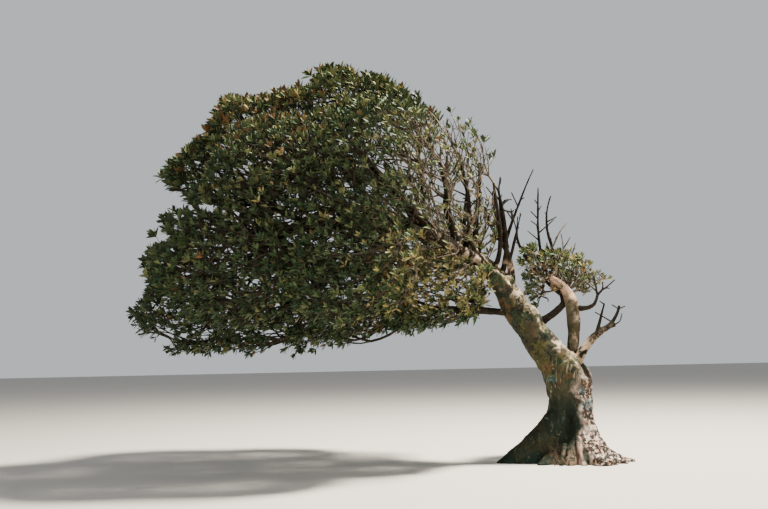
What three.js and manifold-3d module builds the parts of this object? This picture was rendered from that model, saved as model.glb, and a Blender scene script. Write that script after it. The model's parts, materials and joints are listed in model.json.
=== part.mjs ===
// A wind-swept fig tree: a buttressed trunk, one great leaning limb, and a crown swept over to one side.
// Millimetres, +Z up. The origin is on the ground under the trunk. The crown lies towards -X, the lee side.
import * as THREE from "three";
import { mergeVertices } from "three/addons/utils/BufferGeometryUtils.js";
import Module from "manifold-3d";

const wasm = await Module();
wasm.setup();

const GAP = 0.3; // air between two solids that meet
const UP = new THREE.Vector3(0, 0, 1);
const ALONG = new THREE.Vector3(0, 1, 0); // the way a three.js cylinder points
const GOLDEN = Math.PI * (3 - Math.sqrt(5));

// The trunk, from the flat cut at the ground to the rounded saddle where its limbs part.
const TRUNK_RINGS = [0, 70, 170, 290, 430, 600, 800, 1050, 1290, 1440, 1560, 1650, 1700];
const TRUNK_SIDES = 36;
const TRUNK_BOW = 100; // how far the trunk bows out towards +X between its foot and its saddle
const WAIST_RADIUS = 330;
const FLARE = 190; // how much wider the trunk is at the ground than at its waist, between the buttresses
const FLARE_HEIGHT = 950;
const SADDLE_SPREAD = [60, 20]; // how much wider the saddle is than the waist, along X and along Y
const SADDLE_START = 1000;
const DOME_START = 1400;
const DOME_CLOSE = 0.75; // how far the dome over the saddle closes in at its top

// Buttress roots: heading round the trunk in degrees from +X, reach from the axis at the ground, height,
// thickness, and sweep, which is how hollow the upper edge is.
const BUTTRESSES = [
  { heading: 183, reach: 1110, height: 1000, thick: 230, sweep: 1.65 },
  { heading: 222, reach: 720, height: 420, thick: 120, sweep: 2.5 },
  { heading: 262, reach: 640, height: 620, thick: 115, sweep: 1.6 },
  { heading: 303, reach: 800, height: 760, thick: 150, sweep: 1.9 },
  { heading: 350, reach: 960, height: 700, thick: 130, sweep: 4 },
  { heading: 42, reach: 850, height: 600, thick: 160, sweep: 2.5 },
  { heading: 92, reach: 720, height: 560, thick: 140, sweep: 2 },
  { heading: 138, reach: 900, height: 780, thick: 180, sweep: 2 },
];
const BUTTRESS_TOE = 1.25; // how blunt a buttress is where it meets the ground

// Limbs that show bare. Each leaves its foot along the vector leave and comes to its tip along the vector
// arrive. Its foot is a point in the trunk, or is on another limb at a share of that limb's length. Girth is
// its radius at the foot and at the tip, and swell is how much thicker it is between them.
const BARE_LIMBS = [
  {
    name: "leaning_limb", foot: [30, 0, 1150], leave: [-60, 0, 450], arrive: [-150, 0, 450],
    tip: [-905, 0, 2800], girth: [290, 178],
  },
  {
    name: "broken_stem", foot: [140, 60, 1300], leave: [0, 0, 600], arrive: [-560, 0, 250],
    tip: [-140, 40, 2900], girth: [88, 42], swell: 45,
  },
  {
    name: "right_limb", foot: [160, -70, 1380], leave: [100, 0, 380], arrive: [260, 0, 70],
    tip: [830, -90, 2120], girth: [85, 42],
  },
  {
    name: "cross_limb", on: "leaning_limb", at: 0.6, leave: [350, 150, 50], arrive: [60, 30, 190],
    tip: [180, 300, 2640], girth: [60, 42],
  },
  {
    name: "hook_limb", on: "broken_stem", at: 0.64, leave: [180, -40, -40], arrive: [40, 0, 140],
    tip: [560, -60, 2520], girth: [50, 26],
  },
  {
    name: "windward_bough", on: "leaning_limb", at: 0.93, leave: [150, -60, 300], arrive: [-40, 0, 250],
    tip: [-870, -90, 3480], girth: [78, 34],
  },
  {
    name: "shoot_bough", on: "cross_limb", at: 0.82, leave: [-60, -40, 300], arrive: [-20, 0, 150],
    tip: [-85, 185, 3560], girth: [32, 20],
  },
];
const DEAD_LIMBS = ["right_limb", "shoot_bough"];

// Great boughs that fan out from the leaning limb, each ending where it enters its own mass of leaves.
const GREAT_BOUGHS = [
  {
    name: "long_bough", on: "leaning_limb", at: 0.95, mass: "lee_middle",
    leave: [-820, 30, 1350], girth: [135, 48],
  },
  {
    name: "low_bough", on: "leaning_limb", at: 0.72, mass: "under_left",
    leave: [-900, -150, 80], girth: [80, 40],
  },
  {
    name: "front_bough", on: "leaning_limb", at: 0.9, mass: "front_middle",
    leave: [-450, -900, 650], girth: [105, 42],
  },
  {
    name: "back_bough", on: "leaning_limb", at: 0.97, mass: "back_middle",
    leave: [-350, 900, 800], girth: [112, 42],
  },
  {
    name: "crest_bough", on: "long_bough", at: 0.36, mass: "crest_top",
    leave: [-350, -60, 500], girth: [84, 38],
  },
  {
    name: "brow_bough", on: "long_bough", at: 0.21, mass: "brow",
    leave: [-330, 40, 520], girth: [74, 34],
  },
];

// Masses of foliage: centre, reach along X, Y and Z, and where a smaller bough to it springs from. A mass
// with neither a great bough nor a smaller one is carried by the limb that it names.
const LEAFY = [
  { name: "lee_low", centre: [-5930, -60, 2580], reach: [1000, 1150, 880], on: "long_bough", at: 0.62 },
  { name: "lee_middle", centre: [-5700, 100, 3640], reach: [1050, 1200, 880] },
  { name: "lee_high", centre: [-5500, 0, 4560], reach: [980, 1200, 850], on: "long_bough", at: 0.78 },
  { name: "crest_left", centre: [-4830, 0, 5240], reach: [1000, 1250, 900], on: "long_bough", at: 0.6 },
  { name: "crest_top", centre: [-3620, 0, 5540], reach: [1080, 1300, 990] },
  { name: "crest_right", centre: [-2560, 0, 5230], reach: [950, 1150, 950], on: "crest_bough", at: 0.45 },
  { name: "brow", centre: [-1720, 60, 4880], reach: [800, 900, 920] },
  { name: "nape", centre: [-1330, 40, 3900], reach: [600, 650, 720], on: "long_bough", at: 0.1 },
  { name: "under_left", centre: [-4650, -100, 2530], reach: [1020, 1150, 880] },
  { name: "under_middle", centre: [-3280, 100, 2540], reach: [1050, 1100, 860], on: "low_bough", at: 0.5 },
  { name: "throat", centre: [-2000, -300, 2700], reach: [1000, 900, 780], on: "low_bough", at: 0.2 },
  { name: "front_lee", centre: [-4950, -1500, 3130], reach: [1150, 1000, 1080], on: "front_bough", at: 0.72 },
  { name: "front_middle", centre: [-4250, -1450, 4200], reach: [1150, 1050, 1050] },
  { name: "front_crest", centre: [-2950, -1380, 4500], reach: [1050, 1050, 990], on: "front_bough", at: 0.5 },
  { name: "front_low", centre: [-3350, -1560, 3060], reach: [1100, 1000, 1000], on: "front_bough", at: 0.38 },
  { name: "front_brow", centre: [-1950, -950, 4020], reach: [900, 850, 900], on: "front_bough", at: 0.2 },
  { name: "back_lee", centre: [-4950, 1500, 3330], reach: [1150, 1050, 1100], on: "back_bough", at: 0.72 },
  { name: "back_middle", centre: [-4300, 1450, 4500], reach: [1150, 1100, 1080] },
  { name: "back_crest", centre: [-2950, 1400, 4650], reach: [1080, 1100, 1080], on: "back_bough", at: 0.52 },
  { name: "back_low", centre: [-3450, 1560, 3120], reach: [1150, 1050, 1080], on: "back_bough", at: 0.42 },
  { name: "back_brow", centre: [-1950, 1050, 3950], reach: [950, 900, 950], on: "back_bough", at: 0.25 },
  { name: "windward", centre: [50, 170, 3020], reach: [730, 660, 560], carrier: "cross_limb" },
];
const SPARSE = ["brow", "nape", "front_brow", "back_brow"]; // the sky shows through these: they have no core

// Masses of dead twigs with no leaves, on the side that meets the wind.
const BARE = [
  { name: "head", centre: [-810, -100, 4130], reach: [470, 430, 680], carrier: "windward_bough" },
  { name: "above", centre: [-40, 160, 3900], reach: [420, 350, 520], carrier: "shoot_bough" },
  { name: "right", centre: [860, -90, 2400], reach: [170, 190, 260], carrier: "right_limb" },
  { name: "hook", centre: [590, -50, 2800], reach: [240, 260, 280], carrier: "hook_limb" },
];

// Limbs as bent cylinders: sides and steps of a thick one and of a smaller bough.
const LIMB_FACETS = [6, 6];
const SMALL_FACETS = [5, 5];
const SMALL_GIRTH = [58, 30];
const SMALL_LEAVE = 0.25; // how far a smaller bough follows its parent, as a share of the way to its mass
const SMALL_RISE = 0.12;
const ARRIVE = 0.35; // how soon a bough bends over to the middle of its mass
const ENTRY = 0.8; // a bough ends at this share of the way out from the middle of its mass
const ENTRY_AIR = 60; // and at least this far inside the planes round the mass

// Twigs. A twig's radius grows with the number of sprays that it carries.
const STEM_ON = { leafy: 0.8, bare: 0.3 }; // how far a mass's stem goes on towards its middle
const TWIG_TIP = 14;
const TWIG_TAPER = { leafy: [1.15, 0.9], bare: [1.15, 0.5] };
const TWIG_AIR = 20; // clear air round a twig
const WAY_PULL = 0.7; // how much a long way back to the stem counts against a twig's place
const TRIES = 26; // places for sprays that are tried all round a leafy mass
const SPRAYS = 6; // and the most that it keeps
const BARE_TRIES = 13;
const BARE_DROOP = -0.35; // dead twigs grow upwards: none points further down than this
const SPRAY_INSET = 0.5; // how far inside the mass a spray's twig ends, in leaf lengths

// Leaves, about twice life size, since each stands for the leaves of several twigs.
const LEAVES_IN_SPRAY = 3;
const LEAF_LENGTH = 350;
const LEAF_WIDTH = 145;
const LEAF_THICK = 16;
const LEAF_WAIST = 0.48; // the widest place, as a share of the length from the root
const LEAF_STEP = 48; // how far apart leaves stand along their twig
const LEAF_SUNK = 12; // how far past its twig's centre line a leaf's root is sunk
const LEAF_OPEN = [0.76, 1.05]; // how far the outer and the inner leaf turn away from their twig, in radians
const LEAF_AIR = 8;

// Cores, and the air that keeps the masses apart.
const CORE_SHARE = 0.75;
const CORE_ROUGH = 0.16;
const CORE_AIR = 30; // how far a core keeps back from the planes round its mass
const CELL_AIR = 6; // clear air on each side of the plane between two masses
const CARRIER_CLEAR = 0.9; // leaves may come close to their own bough only past this share of it
const LIMB_STEP = 60; // how far apart limbs are measured to keep twigs and leaves clear of them

const BARK = new THREE.MeshStandardMaterial({ color: 0xa3917b, roughness: 0.85, metalness: 0 });
const DEAD_WOOD = new THREE.MeshStandardMaterial({ color: 0x6e5f50, roughness: 0.9, metalness: 0 });
const LEAVES = new THREE.MeshStandardMaterial({ color: 0x46512b, roughness: 0.55, metalness: 0 });

// Seeded numbers from 0 to 1, the same on every machine.
function seeded(seed) {
  let state = seed;
  return () => {
    state = (state * 48271) % 2147483647;
    return state / 2147483647;
  };
}

const vec = (p) => new THREE.Vector3(...p);
const mix = (a, b, t) => a + (b - a) * t;
const dropped = (geometry) => geometry.deleteAttribute("normal").deleteAttribute("uv");
const turnTo = (line) => new THREE.Quaternion().setFromUnitVectors(ALONG, line);

// A closed three.js geometry as a solid that can be joined and cut.
function solidOf(geometry) {
  const merged = mergeVertices(dropped(geometry), 1e-3);
  const mesh = new wasm.Mesh({
    numProp: 3,
    vertProperties: merged.attributes.position.array,
    triVerts: new Uint32Array(merged.index.array),
  });
  return new wasm.Manifold(mesh);
}

function geometryOf(solid) {
  const { vertProperties, triVerts } = solid.getMesh();
  const geometry = new THREE.BufferGeometry();
  geometry.setAttribute("position", new THREE.BufferAttribute(vertProperties, 3));
  geometry.setIndex(new THREE.BufferAttribute(triVerts, 1));
  geometry.computeVertexNormals();
  return geometry;
}

// A solid cut by others, as its largest piece: the loose scraps that a cut can leave are dropped.
function cutBy(solid, cutters) {
  const cut = cutters.length ? solid.subtract(wasm.Manifold.union(cutters.map((c) => c.solid))) : solid;
  return cut.decompose().reduce((a, b) => (b.volume() > a.volume() ? b : a));
}

function cutterOf(solid) {
  const { min, max } = solid.boundingBox();
  return { solid, box: new THREE.Box3(vec(min), vec(max)) };
}

// How far a buttress stands out from the trunk at a heading and height.
function buttressAt(fin, angle, height, round) {
  const drop = Math.max(0, 1 - height / fin.height) ** fin.sweep;
  const stands = (fin.reach - WAIST_RADIUS - FLARE) * (1 - (1 - drop) ** BUTTRESS_TOE);
  const turn = angle - fin.heading * THREE.MathUtils.DEG2RAD;
  const aside = Math.abs(Math.atan2(Math.sin(turn), Math.cos(turn))) * (round + stands / 2);
  return stands * Math.exp(-((aside / fin.thick) ** 2));
}

// The trunk's radius at a heading and height: waist, flare, saddle, buttresses and dome.
function trunkRadius(angle, height) {
  const low = Math.max(0, 1 - height / FLARE_HEIGHT);
  const rise = THREE.MathUtils.smoothstep(height, SADDLE_START, DOME_START);
  const spread = SADDLE_SPREAD[0] * Math.cos(angle) ** 2 + SADDLE_SPREAD[1] * Math.sin(angle) ** 2;
  const round = WAIST_RADIUS + FLARE * low ** 2 + spread * rise;
  const over = Math.max(0, height - DOME_START) / (TRUNK_RINGS.at(-1) - DOME_START);
  const dome = Math.sqrt(1 - DOME_CLOSE * over ** 2);
  return dome * (round + Math.max(...BUTTRESSES.map((fin) => buttressAt(fin, angle, height, round))));
}

// The trunk, or the trunk made larger all round by clear, to cut its limbs back from it.
function trunkSolid(clear = 0) {
  const last = TRUNK_RINGS.length - 1;
  const geometry = new THREE.CylinderGeometry(1, 1, 1, TRUNK_SIDES, last);
  const place = geometry.attributes.position;
  for (let i = 0; i < place.count; i++) {
    const ring = Math.round((place.getY(i) + 0.5) * last);
    const height = TRUNK_RINGS[ring];
    const bow = TRUNK_BOW * Math.sin((Math.PI * height) / TRUNK_RINGS[last]);
    const out = Math.hypot(place.getX(i), place.getZ(i));
    const angle = Math.atan2(-place.getZ(i), place.getX(i));
    const radius = out * (trunkRadius(angle, height) + clear);
    const lift = ring > 0 ? clear : 0;
    place.setXYZ(i, bow + radius * Math.cos(angle), radius * Math.sin(angle), height + lift);
  }
  return solidOf(geometry);
}

// A limb's solid: a cylinder bent along its curve. With clear it is made thicker and longer by that much, to
// cut other solids back from it.
function limbSolid(limb, clear = 0) {
  const [sides, steps] = limb.small ? SMALL_FACETS : LIMB_FACETS;
  const geometry = new THREE.CylinderGeometry(1, 1, 1, sides, steps);
  const frames = limb.curve.computeFrenetFrames(steps, false);
  const place = geometry.attributes.position;
  for (let i = 0; i < place.count; i++) {
    const step = Math.round((place.getY(i) + 0.5) * steps);
    const radius = limb.radiusAt(step / steps) + clear / Math.cos(Math.PI / sides);
    const beyond = step === steps ? clear : step === 0 ? -clear : 0;
    const point = limb.curve.getPointAt(step / steps)
      .addScaledVector(frames.tangents[step], beyond)
      .addScaledVector(frames.normals[step], place.getX(i) * radius)
      .addScaledVector(frames.binormals[step], -place.getZ(i) * radius);
    place.setXYZ(i, point.x, point.y, point.z);
  }
  return solidOf(geometry);
}

// A limb as a curve and a radius.
function limbOf(row, foot, leave, arrive, tip) {
  const bends = [foot, foot.clone().add(leave), tip.clone().sub(arrive), tip];
  const girth = row.girth ?? SMALL_GIRTH;
  const radiusAt = (t) => mix(girth[0], girth[1], t) + (row.swell ?? 0) * Math.sin(Math.PI * t ** 1.5) ** 2;
  return { curve: new THREE.CubicBezierCurve3(...bends), radiusAt, small: !row.girth };
}

function bareLimb(row, limbs) {
  const foot = row.foot ? vec(row.foot) : limbs.get(row.on).curve.getPointAt(row.at);
  return limbOf(row, foot, vec(row.leave), vec(row.arrive), vec(row.tip));
}

// A bough that leaves more or less along its parent's own line and bends over to the middle of its mass.
function boughTo(mass, row, limbs) {
  const parent = limbs.get(row.on).curve;
  const foot = parent.getPointAt(row.at);
  const far = foot.distanceTo(mass.centre);
  const onward = parent.getTangentAt(row.at).multiplyScalar(far * SMALL_LEAVE);
  const leave = row.leave ? vec(row.leave) : onward.addScaledVector(UP, far * SMALL_RISE);
  const bend = foot.clone().add(leave);
  const out = bend.clone().sub(mass.centre).normalize();
  const edge = 1 / out.clone().divide(mass.reach).length();
  const entry = Math.min(edge * ENTRY, roomAlong(mass, out) - ENTRY_AIR);
  const tip = mass.centre.clone().addScaledVector(out, entry);
  return limbOf(row, foot, leave, out.multiplyScalar(-ARRIVE * tip.distanceTo(bend)), tip);
}

// The planes that part a mass from each other mass, so that each keeps to its own space.
function planesRound(mass, masses) {
  return masses.filter((other) => other !== mass).map((other) => {
    const out = other.centre.clone().sub(mass.centre).normalize();
    const own = mass.reach.clone().multiply(out).length();
    const its = other.reach.clone().multiply(out).length();
    return { out, far: (mass.centre.distanceTo(other.centre) * own) / (own + its) - CELL_AIR };
  });
}

// How far it is from the middle of a mass to the nearest of its planes, along a direction.
function roomAlong(mass, out) {
  return Math.min(...mass.planes.map((plane) => {
    const slope = plane.out.dot(out);
    return slope > 0 ? plane.far / slope : Infinity;
  }));
}

// Whether a point is inside the planes round a mass, and clear of the limbs that pass it.
const within = (mass, point, margin) =>
  mass.planes.every(({ out, far }) => out.dot(point) - out.dot(mass.centre) < far - margin);
const clearOf = (limbPoints, point, margin) =>
  limbPoints.every(({ at, radius }) => at.distanceTo(point) > radius + margin);

// Points along every limb with the limb's radius there.
function measured(limbs) {
  return [...limbs].flatMap(([name, limb]) => {
    const count = Math.ceil(limb.curve.getLength() / LIMB_STEP);
    return Array.from({ length: count + 1 }, (_, i) => {
      const share = i / count;
      return { name, share, at: limb.curve.getPointAt(share), radius: limb.radiusAt(share) };
    });
  });
}

// Where a mass's sprays could go: spread evenly over its reach, as the seeds of a sunflower are over a ball.
function sprayPlaces(mass, draw) {
  const count = mass.bare ? BARE_TRIES : TRIES;
  const inset = mass.bare ? 0 : LEAF_LENGTH * SPRAY_INSET;
  const places = [];
  for (let i = 0; i < count; i++) {
    const z = 1 - (2 * i + 1) / count;
    const round = Math.sqrt(1 - z * z);
    const turn = i * GOLDEN + draw() * 0.8 + mass.seed;
    const edge = new THREE.Vector3(round * Math.cos(turn), round * Math.sin(turn), z).multiply(mass.reach);
    const share = (1 - inset / edge.length()) * mix(0.9, 1, draw());
    if (!mass.bare || z > BARE_DROOP) places.push(edge.multiplyScalar(share).add(mass.centre));
  }
  return places;
}

// A list thinned out evenly to no more than count of its members.
function thinned(list, count) {
  const step = Math.max(1, list.length / count);
  return list.filter((_, i) => Math.floor(i / step) !== Math.floor((i - 1) / step));
}

// The one rule of growth: each new twig springs from the nearest twig already grown, with a pull towards a
// short way back to the stem. The stem is the first two points.
function growTwigs(foot, hub, places) {
  const net = [{ at: foot, from: -1, way: 0 }, { at: hub, from: 0, way: hub.distanceTo(foot) }];
  const order = [...places].sort((a, b) => a.distanceTo(hub) - b.distanceTo(hub));
  for (const place of order) {
    const cost = (node) => node.at.distanceTo(place) + WAY_PULL * node.way;
    let from = 1;
    for (let i = 2; i < net.length; i++) {
      if (cost(net[i]) < cost(net[from])) from = i;
    }
    net.push({ at: place, from, way: net[from].way + net[from].at.distanceTo(place) });
  }
  return net;
}

// How many sprays each twig carries, counted from the tips back to the stem.
function loads(net) {
  const carried = net.map(() => 0);
  for (let i = net.length - 1; i > 0; i--) {
    carried[i] += 1;
    carried[net[i].from] += carried[i];
  }
  return carried;
}

function twigSolid(a, b, radiusA, radiusB, sides) {
  const length = a.distanceTo(b);
  const geometry = new THREE.CylinderGeometry(radiusB, radiusA, length, sides, 1);
  geometry.translate(0, length / 2, 0);
  geometry.applyQuaternion(turnTo(b.clone().sub(a).normalize())).translate(a.x, a.y, a.z);
  return solidOf(geometry);
}

// One leaf is an eight-sided octahedron with its corners drawn out to a leaf's: its root and tip lie along
// its length, its left and right across it, and its top and underside stand a little apart.
function leafCorner(leaf, x, y, z) {
  const corner = leaf.root.clone();
  if (Math.abs(y) > 0.5) return corner.addScaledVector(leaf.along, y > 0 ? leaf.length : -LEAF_SUNK);
  return corner.addScaledVector(leaf.along, leaf.length * LEAF_WAIST)
    .addScaledVector(leaf.across, (x * LEAF_WIDTH) / 2)
    .addScaledVector(leaf.face, (z * LEAF_THICK) / 2);
}

function leafSolid(leaf) {
  const geometry = new THREE.OctahedronGeometry(1, 0);
  const place = geometry.attributes.position;
  for (let i = 0; i < place.count; i++) {
    const point = leafCorner(leaf, place.getX(i), place.getY(i), place.getZ(i));
    place.setXYZ(i, point.x, point.y, point.z);
  }
  return solidOf(geometry);
}

// Leaves set one after another round the last of a twig, each from the middle of one of its three sides.
function sprayOf(tip, line, draw) {
  const side = new THREE.Vector3(0, 0, -1).applyQuaternion(turnTo(line));
  const start = Math.floor(draw() * 3);
  return Array.from({ length: LEAVES_IN_SPRAY }, (_, i) => {
    const radial = side.clone().applyAxisAngle(line, ((start + i) * Math.PI * 2) / 3);
    const open = mix(...LEAF_OPEN, i / (LEAVES_IN_SPRAY - 1));
    const along = line.clone().multiplyScalar(Math.cos(open)).addScaledVector(radial, Math.sin(open));
    const across = along.clone().cross(radial).normalize();
    const root = tip.clone().addScaledVector(line, -LEAF_STEP * (i + 0.4));
    const length = LEAF_LENGTH * mix(0.85, 1.1, draw());
    return { root, along, across, face: across.clone().cross(along), length };
  });
}

// The smaller core of a dense mass: a rough ball that stays inside the mass's own space.
function coreSolid(mass, draw) {
  const geometry = mergeVertices(dropped(new THREE.IcosahedronGeometry(1, 1)), 1e-4);
  const place = geometry.attributes.position;
  for (let i = 0; i < place.count; i++) {
    const out = new THREE.Vector3().fromBufferAttribute(place, i);
    const rough = CORE_SHARE * (1 + CORE_ROUGH * mix(-1, 1, draw()));
    const edge = out.clone().multiply(mass.reach).multiplyScalar(rough);
    edge.clampLength(0, roomAlong(mass, edge.clone().normalize()) - CORE_AIR).add(mass.centre);
    place.setXYZ(i, edge.x, edge.y, edge.z);
  }
  return solidOf(geometry);
}

// The twigs and leaves of a mass, as solids that overlap each other where they join.
function growth(mass, carrier, near, draw) {
  const kind = mass.bare ? "bare" : "leafy";
  const tip = carrier.curve.getPointAt(1);
  const onward = carrier.curve.getTangentAt(1);
  const girth = carrier.radiusAt(1);
  const foot = tip.clone().addScaledVector(onward, -GAP);
  const hub = tip.clone().addScaledVector(onward, tip.distanceTo(mass.centre) * STEM_ON[kind]);
  const fits = (p) => within(mass, p, TWIG_AIR) && clearOf(near, p, LEAF_AIR + TWIG_AIR);
  const outOfCore = (p) => !mass.core || p.clone().sub(mass.centre).divide(mass.reach).length() > CORE_SHARE;
  const leafFits = (p) => within(mass, p, 0) && clearOf(near, p, LEAF_AIR) && outOfCore(p);
  const open = sprayPlaces(mass, draw).filter(fits);
  const net = growTwigs(foot, hub, mass.bare ? open : thinned(open, SPRAYS));
  const carried = loads(net);
  const radius = (i) => Math.min(girth * 0.9, TWIG_TIP * Math.sqrt(carried[i]));
  const solids = [twigSolid(foot, hub, girth * 0.95, radius(1), LIMB_FACETS[0])];
  const grown = new Set([1]);
  for (let i = 2; i < net.length; i++) {
    const from = net[net[i].from].at;
    const to = net[i].at;
    const clear = [0.35, 0.5, 0.65, 0.8].every((t) => clearOf(near, from.clone().lerp(to, t), TWIG_AIR));
    if (!clear || !grown.has(net[i].from)) continue;
    grown.add(i);
    const [base, end] = TWIG_TAPER[kind];
    solids.push(twigSolid(from, to, radius(i) * base, radius(i) * end, 3));
    if (mass.bare) continue;
    for (const leaf of sprayOf(to, to.clone().sub(from).normalize(), draw)) {
      const ends = [[0, 1, 0], [1, 0, 0], [-1, 0, 0]].map((corner) => leafCorner(leaf, ...corner));
      if (ends.every(leafFits)) solids.push(leafSolid(leaf));
    }
  }
  return solids;
}

// A mass in one solid, cut clear of the bough that carries it and of every limb that passes it.
function massSolid(mass, limbs, limbPoints, cutters) {
  const draw = seeded(1000 + mass.seed * 77);
  const span = Math.max(...mass.reach.toArray()) * 1.5;
  const near = limbPoints.filter(({ name, share, at }) =>
    at.distanceTo(mass.centre) < span && (name !== mass.carrier || share < CARRIER_CLEAR));
  const solids = growth(mass, limbs.get(mass.carrier), near, draw);
  if (mass.core) solids.push(coreSolid(mass, draw));
  const passing = cutters.filter(({ box }) => box.distanceToPoint(mass.centre) < span);
  return cutBy(wasm.Manifold.union(solids), passing);
}

// The masses, each with its own space.
const rows = [...LEAFY, ...BARE.map((row) => ({ ...row, bare: true }))];
const masses = rows.map((row, i) => ({
  ...row,
  centre: vec(row.centre),
  reach: vec(row.reach),
  core: !row.bare && !SPARSE.includes(row.name),
  seed: i + 1,
}));
for (const mass of masses) mass.planes = planesRound(mass, masses);

// The limbs in the order they grow, each on one that is already there.
const limbs = new Map();
for (const row of BARE_LIMBS) limbs.set(row.name, bareLimb(row, limbs));
for (const row of GREAT_BOUGHS) {
  const mass = masses.find(({ name }) => name === row.mass);
  mass.carrier = row.name;
  limbs.set(row.name, boughTo(mass, row, limbs));
}
for (const mass of masses) {
  if (mass.carrier) continue;
  mass.carrier = `${mass.name}_bough`;
  limbs.set(mass.carrier, boughTo(mass, { on: mass.on, at: mass.at }, limbs));
}

const group = new THREE.Group();
function addNode(name, solid, material) {
  const mesh = new THREE.Mesh(geometryOf(solid), material);
  mesh.name = name;
  group.add(mesh);
}

// Each limb is cut clear of the trunk and of every limb before it.
addNode("trunk", trunkSolid(), BARK);
const cutters = [cutterOf(trunkSolid(GAP))];
for (const [name, limb] of limbs) {
  addNode(name, cutBy(limbSolid(limb), cutters), DEAD_LIMBS.includes(name) ? DEAD_WOOD : BARK);
  cutters.push(cutterOf(limbSolid(limb, GAP)));
}

const limbPoints = measured(limbs);
for (const mass of masses) {
  const name = `${mass.bare ? "bare_twigs" : "leaves"}_${mass.name}`;
  addNode(name, massSolid(mass, limbs, limbPoints, cutters), mass.bare ? DEAD_WOOD : LEAVES);
}

export default group;
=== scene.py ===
# A wind-swept fig tree: bark, boughs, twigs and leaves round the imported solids. Metres, +Z up. The crown
# lies towards -X, the lee side, and the camera stands towards -Y.
import json
import math

import bmesh
import bpy
import numpy as np
from mathutils import Matrix, Vector, kdtree, noise

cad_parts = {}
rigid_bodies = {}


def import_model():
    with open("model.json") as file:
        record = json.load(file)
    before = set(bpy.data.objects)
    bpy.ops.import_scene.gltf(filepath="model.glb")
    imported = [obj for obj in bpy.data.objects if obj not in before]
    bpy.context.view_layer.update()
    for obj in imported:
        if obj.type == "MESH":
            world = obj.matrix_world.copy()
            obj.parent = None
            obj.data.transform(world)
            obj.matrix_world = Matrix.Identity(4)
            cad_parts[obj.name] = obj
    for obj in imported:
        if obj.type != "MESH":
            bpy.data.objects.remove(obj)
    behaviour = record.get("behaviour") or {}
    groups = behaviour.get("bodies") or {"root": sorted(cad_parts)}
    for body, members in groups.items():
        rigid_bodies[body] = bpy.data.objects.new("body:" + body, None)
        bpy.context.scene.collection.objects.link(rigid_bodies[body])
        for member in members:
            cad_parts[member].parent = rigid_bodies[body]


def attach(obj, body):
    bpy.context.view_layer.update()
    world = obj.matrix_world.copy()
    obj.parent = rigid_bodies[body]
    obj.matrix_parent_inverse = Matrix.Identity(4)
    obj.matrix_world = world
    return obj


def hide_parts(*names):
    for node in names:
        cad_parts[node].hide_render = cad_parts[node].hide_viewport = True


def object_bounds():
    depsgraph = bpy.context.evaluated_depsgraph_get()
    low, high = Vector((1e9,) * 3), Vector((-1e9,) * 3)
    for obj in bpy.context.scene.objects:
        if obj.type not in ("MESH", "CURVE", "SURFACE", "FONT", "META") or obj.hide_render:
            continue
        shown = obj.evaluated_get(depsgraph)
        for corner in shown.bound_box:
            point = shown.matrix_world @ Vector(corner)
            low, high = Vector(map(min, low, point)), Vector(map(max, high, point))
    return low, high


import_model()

CAD_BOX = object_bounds()
NOISE_SEED = 4  # without it the bends of limbs and bark would differ from run to run
DRAW_SEED = 20
noise.seed_set(NOISE_SEED)
UP = np.array([0.0, 0.0, 1.0])
GOLDEN = math.pi * (3 - math.sqrt(5))

# The camera: a standing person's eye, looking a little up, with the horizon not quite level.
EYE = (-2.818, -13.642, 1.6)
PITCH = math.radians(7.206)
ROLL = math.radians(1.193)
LENS_SHARE = 850 / 768  # focal length as a share of the picture's width
SENSOR = 36.0

# The trunk, from the flat cut at the ground to the rounded saddle where its limbs part, as its solid has it.
TRUNK_TOP = 1.70
TRUNK_BOW = 0.10
WAIST_RADIUS = 0.33
FLARE = 0.19
FLARE_HEIGHT = 0.95
SADDLE_SPREAD = (0.06, 0.02)
SADDLE_START = 1.0
DOME_START = 1.4
DOME_CLOSE = 0.75
BUTTRESS_TOE = 1.25
BUTTRESSES = [
    {"heading": 183, "reach": 1.11, "height": 1.00, "thick": 0.230, "sweep": 1.65},
    {"heading": 222, "reach": 0.72, "height": 0.42, "thick": 0.120, "sweep": 2.5},
    {"heading": 262, "reach": 0.64, "height": 0.62, "thick": 0.115, "sweep": 1.6},
    {"heading": 303, "reach": 0.80, "height": 0.76, "thick": 0.150, "sweep": 1.9},
    {"heading": 350, "reach": 0.96, "height": 0.70, "thick": 0.130, "sweep": 4.0},
    {"heading": 42, "reach": 0.85, "height": 0.60, "thick": 0.160, "sweep": 2.5},
    {"heading": 92, "reach": 0.72, "height": 0.56, "thick": 0.140, "sweep": 2.0},
    {"heading": 138, "reach": 0.90, "height": 0.78, "thick": 0.180, "sweep": 2.0},
]
# Lesser root fins that stand between the buttresses.
ROOT_FINS = [
    {"heading": 201, "reach": 0.70, "height": 0.55, "thick": 0.060, "sweep": 1.5},
    {"heading": 243, "reach": 0.60, "height": 0.34, "thick": 0.045, "sweep": 1.8},
    {"heading": 281, "reach": 0.68, "height": 0.50, "thick": 0.050, "sweep": 1.3},
    {"heading": 318, "reach": 0.74, "height": 1.10, "thick": 0.055, "sweep": 2.2},
    {"heading": 334, "reach": 0.76, "height": 0.85, "thick": 0.050, "sweep": 2.0},
    {"heading": 12, "reach": 0.72, "height": 0.50, "thick": 0.055, "sweep": 2.2},
    {"heading": 68, "reach": 0.66, "height": 0.60, "thick": 0.050, "sweep": 1.8},
    {"heading": 116, "reach": 0.66, "height": 0.42, "thick": 0.050, "sweep": 1.8},
    {"heading": 160, "reach": 0.74, "height": 0.55, "thick": 0.060, "sweep": 1.7},
]

FIN_HOLLOW = 0.10  # how much deeper the trunk is cut in between its roots
FIN_HOLLOW_EASE = 0.07
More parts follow.
